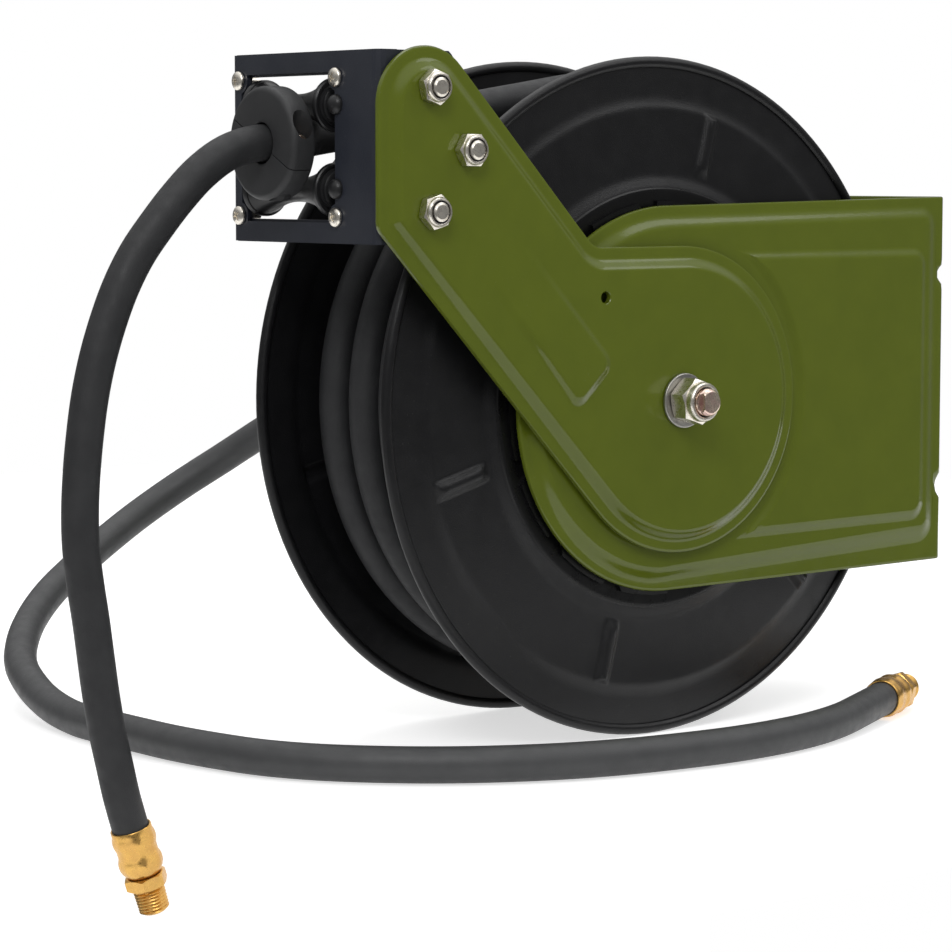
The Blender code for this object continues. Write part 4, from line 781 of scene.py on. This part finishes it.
def bracket_outline():
    """Edge of the flat sheet: both ears widen towards the wall, a little less along the bottom."""
    half = arc((0, 0), BRACKET_RADIUS, radians(180), radians(270), 40)
    for a in [12 * k for k in range(1, 14)] + [162, 166, 169] + FOLD_LINES:
        half.append((a, -BRACKET_RADIUS - EAR_FLARE * min(a, -AXLE_X) / FLARE_LENGTH))
    half += [(MIDDLE - away, -PLATE_HALF_HEIGHT) for away in (35, 20, 0)]
    lower = half + [(mirror(a), b) for a, b in half[:-1]][::-1]
    upper = [(a, -b) for a, b in lower[1:-1]][::-1]
    raised = []
    for a, b in lower:
        share = min(max(min(a, mirror(a)), 0), -AXLE_X) / -AXLE_X
        raised.append((a, b * (1 - LOWER_SHARE * share)))
    return raised + upper


def field(shrink):
    """Foot of the raised field, moved in by shrink: round the hub, and running back to the fold."""
    corner, right = max(10 - shrink, 2), FIELD_END - shrink
    round_hub = arc((0, 0), FIELD_RADIUS - shrink, radians(91), radians(265), 48)
    ends = [(right, FIELD_BOTTOM + 1.2 * shrink, corner), (right, FIELD_TOP - shrink, corner)]
    return rounded([(a, b, 0) for a, b in round_hub] + ends, 6)


def panel(shrink):
    """Foot of the second, higher panel behind the arm's round end, moved in by shrink."""
    right, level = PANEL_END - shrink, PANEL_HALF_HEIGHT - shrink
    radius, corner = PANEL_RADIUS + shrink, max(9 - shrink, 2)
    end = math.asin(level / radius)
    front = arc((0, 0), radius, end, -end, 22)
    return rounded([(right, -level + 1, corner), (right, level, corner)] + [(a, b, 0) for a, b in front], 6)


sheet = Shape()
slots = []
for y in (-MOUNT_SLOT_Y, MOUNT_SLOT_Y):
    for z in (-MOUNT_SLOT_Z, MOUNT_SLOT_Z):
        low, high = MIDDLE + y - 9, MIDDLE + y + 9
        corners = ((low, z - 4.5), (high, z - 4.5), (high, z + 4.5), (low, z + 4.5))
        slots.append(rounded([(*corner, 4.4) for corner in corners], 6))
near_holes = [((0, 0), 6.3)] + [(lock_hole(k), 2.8) for k in range(5)]
far_holes = [((mirror(0), 0), 8.3)]


def ear_row(outline, height, far):
    """A row of the flat sheet on the near ear, or mirrored on the far one."""
    places = [(mirror(a) if far else a, b, height) for a, b in outline]
    return sheet.row(places[::-1] if far else places)


def bracket_side(level, towards, grow):
    """One side of the sheet: towards is the way into it, and grow is the extra inset of its slopes."""
    outline = bracket_outline()
    rows = []
    for shrink, down in ((0, 0.8), (0.23, 0.23), (0.8, 0), (1.5, 0)):
        places = [(a, b, level + towards * down + dent(a, b)) for a, b in inset(outline, shrink)]
        rows.append(sheet.row(places))
    sheet.strips(rows, rows[1:])
    feet, throats = [], []
    for far, holes in ((False, near_holes), (True, far_holes)):
        steps = [ear_row(field(s + grow), level + h, far) for s, h in FIELD_PRESS]
        sheet.strips(steps, steps[1:])
        feet.append(steps[0])
        high = level + EMBOSS_RISE
        ups = [ear_row(panel(s + grow), high + h, far) for s, h in PANEL_PRESS]
        sheet.strips(ups, ups[1:])
        sheet.fill(ups[-1])
        faces, ends = holes_in(sheet, holes, high, towards)
        throats += ends
        sheet.fill(steps[-1], faces + [ups[0]])
    slot_rows = [sheet.row([(a, b, level) for a, b in slot]) for slot in slots]
    lines = []
    for a in [EAR_END - 3, EAR_END - 1.4] + FOLD_LINES:
        for side in (a, mirror(a)):
            lines.append(sheet.row([(side, b, level + dent(side, b)) for b in FOLD_HEIGHTS]))
    sheet.fill(rows[-1], feet + slot_rows, lines)
    return [rows[0]] + throats + slot_rows


sheet.strips(bracket_side(0, -1, 0), bracket_side(-BRACKET_SHEET, 1, 1))
sheet.points = [bent(*p) for p in sheet.points]
flat_faced(piece("wall_bracket", sheet, "green_paint", "bracket", ["mount_bracket"], angle=35))


# Fasteners and turned pieces

M8, M12 = (4, 0.35, 1.25), (THREAD_RADIUS, 0.5, 1.75)  # radius, depth and pitch


def folded(angle, step):
    """How far an angle is, in radians, from the nearest whole number of steps."""
    return (angle + step / 2) % step - step / 2


def hex_rows(across, low, high, steps=72):
    """Outside of a hexagon with its corners turned off at both ends."""
    start = across / 2 * 0.97
    fall = math.tan(radians(30))

    def radius(angle):
        return across / 2 / cos(folded(angle, pi / 3))

    ends = (lambda a: low + (radius(a) - start) * fall, lambda a: high - (radius(a) - start) * fall)
    return circles([(start, low), (radius, ends[0]), (radius, ends[1]), (start, high)], steps)


def thread_rows(thread, low, high, steps, taper=0):
    """A thread that runs out at both ends: seven rows a turn, cut deeper between the crests."""
    outer, depth, pitch = thread
    rows = []
    count = round((high - low) / pitch * 7)
    for k in range(count + 1):
        z = low + (high - low) * k / count
        fade = min(1, (z - low) / 0.6 + 0.2, (high - z) / 0.6 + 0.2)
        here = outer - taper * (z - low)

        def cutting(a, z=z, fade=fade, here=here):
            phase = (z / pitch - a / (2 * pi)) % 1
            return here - depth * fade * abs(2 * phase - 1) ** 1.2
        rows.append(circle(cutting, z, steps))
    return rows


def lock_nut(name, body, nodes, centre, across, bore, height, turn):
    """Hex nut with a round collar that holds a dark locking ring."""
    hexed = height * 0.7
    collar = across * 0.475
    ring = across * 0.37
    top = [(collar, hexed), (collar, height - 1.2), (collar - 0.18, height - 0.6),
           (collar - 0.6, height - 0.16), (collar - 1.2, height), (ring + 0.4, height),
           (ring + 0.1, height - 0.15), (ring, height - 0.5), (ring, height - 1.5),
           (bore + 0.1, height - 1.5)]
    rows = circles([(bore + 0.1, 0.4), (bore + 0.5, 0)], 72) + hex_rows(across, 0, hexed) + circles(top, 72)
    place = stand(centre, NEAR, turn)
    piece(name, Shape(rows, loop=True), "zinc", body, nodes, place, 28)
    insert = [(bore + 0.15, height - 1.4), (bore + 0.15, height - 1), (bore + 0.5, height - 0.75),
              (ring - 0.3, height - 0.75), (ring - 0.05, height - 1), (ring - 0.05, height - 1.4)]
    turned(name + "_insert", insert, "insert_nylon", body, (), place, 48, 0.1)


# Shaft: threaded and flattened at the near end, hollow at the far end
near_end = [(AXIS, 0), (4.3, 0), (5, 0.15), (5.5, 0.6), (5.7, 1.2)]
steps_up = [(THREAD_RADIUS, -62), (THREAD_RADIUS, -55.2), (SHAFT_RADIUS - 0.4, -55.2), (SHAFT_RADIUS, -54.8)]
far_end = [(SHAFT_RADIUS, SHAFT_FAR_END - 0.6), (SHAFT_RADIUS - 0.6, SHAFT_FAR_END), (4.4, SHAFT_FAR_END),
           (4, SHAFT_FAR_END - 0.4), (4, 28), (AXIS, 26)]
rows = circles([(r, SHAFT_NEAR_END + h) for r, h in near_end], 64)
rows += thread_rows(M12, SHAFT_NEAR_END + 1.5, -64, 64) + circles(steps_up + far_end, 64)
shape = Shape(rows)
shape.points = [(min(x, 4.1) if z < SHAFT_NEAR_END + 2.6 else x, y, z) for x, y, z in shape.points]
piece("axle_shaft", shape, "bolt_zinc", "bracket", ["main_shaft"], stand((0, 0, 0), FAR), 35)

# Near end of the shaft, and the arm's bolts with their nuts
SEAT = -(ARM_PLATEAU + GAP)
BOLT_SEAT = -50.3
ring = [(6.3, 0), (12, 0), (12, 1.8), (6.3, 1.8)]
turned("big_washer", ring, "grey_zinc", "bracket", ["axle_washer"], stand((0, SEAT, 0), NEAR), 72, 0.5)
lock_nut("axle_lock_nut", "bracket", ["axle_nut"], (0, SEAT - 2.1, 0), 18, 6.2, 13, radians(12))
for k, (x, z) in enumerate(GUIDE_BOLTS):
    turn = radians(12 + 17 * k)
    lock_nut(f"arm_nut_{k + 1}", "guide", [f"guide_nut_{k + 1}"], (x, SEAT, z), 13, 4.2, 6.4, turn)
    rows = circles([(AXIS, 0), (5.4, 0)], 56) + hex_rows(13, 0.1, 5.3, 56)
    rows += circles([(M8[0], 5.3), (M8[0], 11)], 56) + thread_rows(M8, 14, 21.4, 56)
    rows += circles([(3.4, 21.7), (3.15, 22), (2.9, 22.1), (2.6, 22.1), (AXIS, 22.1)], 56)
    place = stand((x, BOLT_SEAT, z), NEAR, 0.3 * k)
    piece(f"arm_bolt_{k + 1}", Shape(rows), "zinc", "guide", [f"guide_bolt_{k + 1}"], place, 35)

# Far end of the shaft
FAR_SEAT = BRACKET_OUTER + EMBOSS_RISE + GAP
ring = [(8.3, 0), (15, 0), (15, 2), (8.3, 2)]
turned("far_ring", ring, "grey_zinc", "bracket", ["far_washer"], stand((0, FAR_SEAT, 0), FAR), 72, 0.5)
rows = circles([(8.3, 0.5), (8.9, 0)], 72) + hex_rows(24, 0, 7.7) + circles([(8.9, 7.7), (8.3, 7.2)], 72)
place = stand((0, FAR_SEAT + 2.3, 0), FAR)
piece("far_lock_nut", Shape(rows, loop=True), "zinc", "bracket", ["far_nut"], place, 28)


# Plate screws with a cross recess, and the round ends of the roller pins beside them

PLATE_FRONT = GUIDE_X - GAP
SCREW_RINGS = (AXIS, 0.2, 0.34, 0.42, 0.5, 0.6, 0.8, 1, 1.2, 1.4, 1.6, 1.75, 1.9, 2.1, 2.5, 2.9, 3.3, 3.6,
               3.82, 3.95, 4)
HEAD_HEIGHT, HEAD_CURVE = 2.4, 1.7
RECESS_DEPTH, RECESS_HALF, RECESS_REACH = 1.1, 0.52, 1.9

screw_rows = []
for r in SCREW_RINGS:
    dome = HEAD_HEIGHT - HEAD_CURVE * (1 - math.sqrt(1 - (r / 4.02) ** 2))

    def recess(a, r=r, dome=dome):
        u, v = sorted((abs(r * cos(a)), abs(r * sin(a))))
        cross = min(1, (RECESS_HALF - u) / 0.14, (RECESS_REACH - v) / 0.3)
        return dome - RECESS_DEPTH * max(0, cross)
    screw_rows.append(circle(r, recess, 96))
screw_rows += circles([(4, 0.12), (3.85, 0), (1.6, 0), (1.6, -10), (AXIS, -10.6)], 96)
for k, (y_way, z_way) in enumerate(((-1, -1), (-1, 1), (1, -1), (1, 1))):
    spot = (PLATE_FRONT, GUIDE_Y + y_way * SCREW_Y, GUIDE_Z + z_way * SCREW_Z)
    place = stand(spot, OUT, 0.35 + 0.9 * k)
    piece(f"pan_screw_{k + 1}", Shape(screw_rows), "zinc", "guide", [f"plate_screw_{k + 1}"], place, 40)

PIN_END_Y, DOME_RADIUS, DOME_HEIGHT = -29.5, 4.3, 3.2
dome = [(DOME_RADIUS * cos(t), DOME_HEIGHT * sin(t)) for t in (0, 0.25, 0.5, 0.75, 1, 1.2, 1.4)]
for k, z in enumerate((GUIDE_Z + ROLLER_SPREAD / 2, GUIDE_Z - ROLLER_SPREAD / 2 + 0.5)):
    cap = [(AXIS, -0.6), (4.1, -0.6)] + dome + [(AXIS, DOME_HEIGHT)]
    place = stand((PLATE_FRONT, PIN_END_Y, z), OUT)
    turned(f"pin_dome_{k + 1}", cap, "black_nylon", "guide", (), place, 40, 0, loop=False)


# Rollers with a waist and stepped ends

half = [(2.8, 31.5), (4.7, 31.5), (5.2, 31), (5.2, 29.4), (7.6, 29.2), (8.2, 28.8), (8.2, 27.2), (8.9, 27),
        (9, 26.5), (9.9, 26.5), (10, 27), (10.9, 27), (ROLLER_RADIUS, 26.5), (ROLLER_RADIUS, 24.6),
        (ROLLER_RADIUS - 0.3, 24.1)]
half += [(ROLLER_WAIST + 5.6 * (t / 10) ** 2, 23.9 * t / 10) for t in range(10, 0, -1)]
outline = half + [(ROLLER_WAIST, 0)] + [(r, -h) for r, h in half[::-1]]
for name, way in (("upper", 1), ("lower", -1)):
    shape = Shape(circles(outline, 60), loop=True)
    place = stand((ROLLER_X, GUIDE_Y, GUIDE_Z + way * ROLLER_SPREAD / 2), FAR)
    piece(f"{name}_roller_body", shape, "black_nylon", f"{name}_roller_body", [f"{name}_roller"], place, 35)


# Stopper: two clamped halves with rounded rims and sunk screws

STOPPER_BORE = 8.5
CLAMP_OFFSET = 15.5
stop_centre = vec(0, STOPPER_Y, STOPPER_Z)
along_split = vec(0, cos(STOPPER_SPLIT), sin(STOPPER_SPLIT))
across_split = vec(0, -sin(STOPPER_SPLIT), cos(STOPPER_SPLIT))
back, front = -STOPPER_BACK, -STOPPER_BACK + STOPPER_LENGTH
stop_profile = rounded([(STOPPER_BORE, back, 1), (STOPPER_RADIUS, back, 2.2), (STOPPER_RADIUS, front, 2.6),
                        (STOPPER_BORE, front, 1)], 5)
clamp_centre = stop_centre + vec(STOPPER_MIDDLE, 0, 0)
clamp_places = [stand(clamp_centre + along_split * way * CLAMP_OFFSET, across_split) for way in (-1, 1)]


def stop_half(name, sign, nodes, sink):
    """Half of the turned stopper, with a sink for each clamp screw as (radius, low, high)."""
    rows = []
    steps = 56
    for k in range(steps + 1):
        angle = pi * k / steps
        row = []
        for r, h in stop_profile:
            out = along_split * (r * cos(angle)) + across_split * sign * max(r * sin(angle), 0.2)
            row.append(stop_centre + out + vec(-h, 0, 0))
        rows.append(row)
    half = piece(name, Shape(rows), "black_rubber", "guide", nodes, angle=35)
    radius, low, high = sink
    cutters = []
    for k, place in enumerate(clamp_places):
        cutter = Shape(circles([(radius, low), (radius, high)], 40))
        cutters.append(piece(f"{name}_cutter_{k}", cutter, "black_rubber", "guide", (), place))
        hollow = half.modifiers.new("sink", "BOOLEAN")
        hollow.object = cutters[-1]
        hollow.solver = "EXACT"
    bpy.context.view_layer.update()
    seen = half.evaluated_get(bpy.context.evaluated_depsgraph_get())
    carved = bpy.data.meshes.new_from_object(seen)
    half.modifiers.clear()
    half.data = carved
    for cutter in cutters:
        bpy.data.objects.remove(cutter)
    carved.shade_smooth()
    carved.set_sharp_from_angle(angle=radians(35))
    soft = half.modifiers.new("soften", "BEVEL")
    soft.width = 0.3 * MM
    soft.segments = 2
    soft.angle_limit = radians(35)


stop_half("stop_upper", 1, ["stopper_upper"], (4.7, 8, 30))
stop_half("stop_lower", -1, ["stopper_lower"], (4.2, -30, -9.6))
clamp = [(AXIS, -9), (2, -9), (2, 8.4), (3.7, 8.4), (3.7, 10.9), (3.3, 11.3), (1.8, 11.3), (1.75, 9.6),
         (AXIS, 9.4)]
for k, place in enumerate(clamp_places):
    nodes = [f"stopper_screw_{k + 1}"]
    turned(f"clamp_screw_{k + 1}", clamp, "bolt_zinc", "guide", nodes, place, 40, 0.2, loop=False)


# Brass hose ends

CRIMP_FLATS, CRIMP_SHARE = 8, 0.972
CRIMP_FROM = 8.7  # a ferrule's swells, wider than this radius, have flats
PIPE_THREAD = (6.75, 0.75, 1.41)  # radius, depth and pitch
PIPE_TAPER = 0.03


def crimped(radius):
    """Round, with light flats where the ferrule was crimped."""
    step = 2 * pi / CRIMP_FLATS
    return lambda a: min(radius, CRIMP_SHARE * radius / cos(folded(a, step)))


def ferrule(name, body, nodes, centre, outwards):
    """A crimped ferrule with two swells, on a hose's end."""
    grip = -FERRULE_GRIP
    profile = [(8.35, grip), (8.6, grip + 0.3), (8.6, -13.4), (8.95, -12.6), (9.2, -11.4), (9.25, -10.2),
               (9.15, -9), (8.8, -7.8), (8.5, -7), (8.5, -3.6), (8.9, -2.6), (9.25, -1.4), (9.35, 0),
               (9.2, 1.4), (8.6, 2.9), (7.6, 4.6), (7.1, 5.1), (5.4, 5.1), (5.4, 2.1), (7.95, 2.1),
               (7.95, grip)]
    rows = circles([(crimped(r) if r > CRIMP_FROM else r, z) for r, z in profile], 64)
    return piece(name, Shape(rows, loop=True), "brass", body, nodes, stand(centre, outwards), 40)


def fitting(name, body, nodes, centre, outwards, socket=None):
    """A hexagon on a short stem, then a tapered thread, or a socket with its floor at that height."""
    stem = [(3.2, 0.5), (3.5, 0.3), (6.8, 0.3), (7, 0.6), (7, 1.6), (5.1, 1.8), (5, 2), (5, 5.4)]
    rows = circles(stem, 64)
    if socket:
        rows += hex_rows(22, 5.4, 11.6, 64)
        rows += circles([(9.9, 11.6), (9.9, 12.4), (10.5, 12.9), (10.5, 21.9), (9.9, 22.5), (8.7, 22.5),
                         (8.3, 22.1), (8.3, socket), (3.2, socket)], 64)
    else:
        rows += hex_rows(16, 5.4, 10.9, 64) + circles([(5.9, 10.9), (5.9, 11.3)], 64)
        rows += thread_rows(PIPE_THREAD, 11.4, 21.3, 64, PIPE_TAPER)
        rows += circles([(5.6, 21.7), (5.1, FITTING_REACH), (3.6, FITTING_REACH), (3.2, 21.9)], 64)
    return piece(name, Shape(rows, loop=True), "brass", body, nodes, stand(centre, outwards, 0.2), 30)


outlet_pieces = [ferrule("outlet_crimp", "guide", ["outlet_ferrule"], OUTLET_END, DOWN),
                 fitting("outlet_thread", "guide", ["outlet_fitting"], OUTLET_END, DOWN)]
inlet_pieces = [ferrule("inlet_end_crimp", "bracket", ["inlet_end_ferrule"], INLET_END, ALONG),
                fitting("inlet_end_thread", "bracket", ["inlet_end_fitting"], INLET_END, ALONG)]
ferrule("inlet_crimp", "bracket", ["inlet_ferrule"], INLET_START, NEAR)
fitting("inlet_union", "bracket", ["inlet_adapter"], INLET_START, NEAR, 14.4)


# Stage, in metres: a pale table top that ends under the outlet hose, and the floor below it

EDGE, TABLE, GROUND = -0.3935, -0.1502, -0.26
LEFT, RIGHT, FRONT, REAR = -1, 0.8, -0.32, 1.2
PALE, GLOW, SHINE = 0.8, 0.62, 0.55


def light_path(tree):
    """Two values of 0 or 1: is it a glossy ray, and is it a camera or transmission ray."""
    path = node(tree, "ShaderNodeLightPath", {}).outputs
    inputs = {0: path["Is Camera Ray"], 1: path["Is Transmission Ray"]}
    seen = node(tree, "ShaderNodeMath", inputs, operation="ADD", use_clamp=True)
    return path["Is Glossy Ray"], seen.outputs[0]


def stage_finish():
    """Pale and matt, with a glow where it is seen and a lesser shine where it is reflected."""
    made = bpy.data.materials.new("pale_table")
    made.use_nodes = True
    tree = made.node_tree
    glossy, seen = light_path(tree)
    shine = node(tree, "ShaderNodeMath", {0: glossy, 1: SHINE}, operation="MULTIPLY").outputs[0]
    glow = node(tree, "ShaderNodeMath", {0: seen, 1: GLOW, 2: shine}, operation="MULTIPLY_ADD").outputs[0]
    connect(tree, tree.nodes["Principled BSDF"], {
        "Base Color": (PALE, PALE, PALE, 1), "Roughness": 0.9, "Specular IOR Level": 0.1,
        "Emission Color": (1, 1, 1, 1), "Emission Strength": glow})
    return made


def stage_plane(name, start, end):
    """A plane from front to rear, between two places (x, z) on its front edge."""
    places = ((start, FRONT), (end, FRONT), (end, REAR), (start, REAR))
    corners = [(x, y, z) for (x, z), y in places]
    data = bpy.data.meshes.new(name)
    data.from_pydata(corners, [], [(0, 1, 2, 3)])
    data.materials.append(pale)
    linked(name, data)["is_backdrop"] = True


pale = stage_finish()
stage_plane("table_top", (EDGE, TABLE), (RIGHT, TABLE))
stage_plane("table_side", (EDGE, GROUND), (EDGE, TABLE))
stage_plane("ground", (LEFT, GROUND), (EDGE, GROUND))


# Light: an even pale world, dimmer in level reflections, and three soft lamps

WORLD_LIGHT = 0.55  # on the object; the world is white where it is seen
DIM, LOW_SKY, HIGH_SKY = 0.2, 0.2, 0.75  # reflections brighten from DIM to white between these heights

studio = bpy.data.worlds.new("studio")
scene.world = studio
studio.use_nodes = True
tree = studio.node_tree
where = node(tree, "ShaderNodeTexCoord", {}).outputs["Generated"]
height = node(tree, "ShaderNodeSeparateXYZ", {0: where}).outputs["Z"]
reflected = ranged(tree, height, DIM, 1, LOW_SKY, HIGH_SKY, interpolation_type="SMOOTHSTEP")
glossy, seen = light_path(tree)
plain = mixed(tree, "FLOAT", seen, WORLD_LIGHT, 1)
level = mixed(tree, "FLOAT", glossy, plain, reflected)
connect(tree, tree.nodes["Background"], {"Color": (1, 1, 1, 1), "Strength": level})

AIM = vec(-0.2, 0, 0)


def lamp(name, place, size, power):
    """A rectangular lamp in metres and watts, turned to the reel."""
    data = bpy.data.lights.new(name, "AREA")
    data.shape = "RECTANGLE"
    data.size, data.size_y = size
    data.energy = power
    obj = linked(name, data)
    obj.location = place
    obj.rotation_euler = (Vector(place) - AIM).to_track_quat("Z", "Y").to_euler()


lamp("key", (-1.5, -1.3, 1.5), (0.8, 0.8), 15)
lamp("top", (0.1, 0.2, 1.6), (1.6, 1), 7)
lamp("fill", (1, -1.2, 1.5), (0.9, 0.9), 5)

low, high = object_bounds()
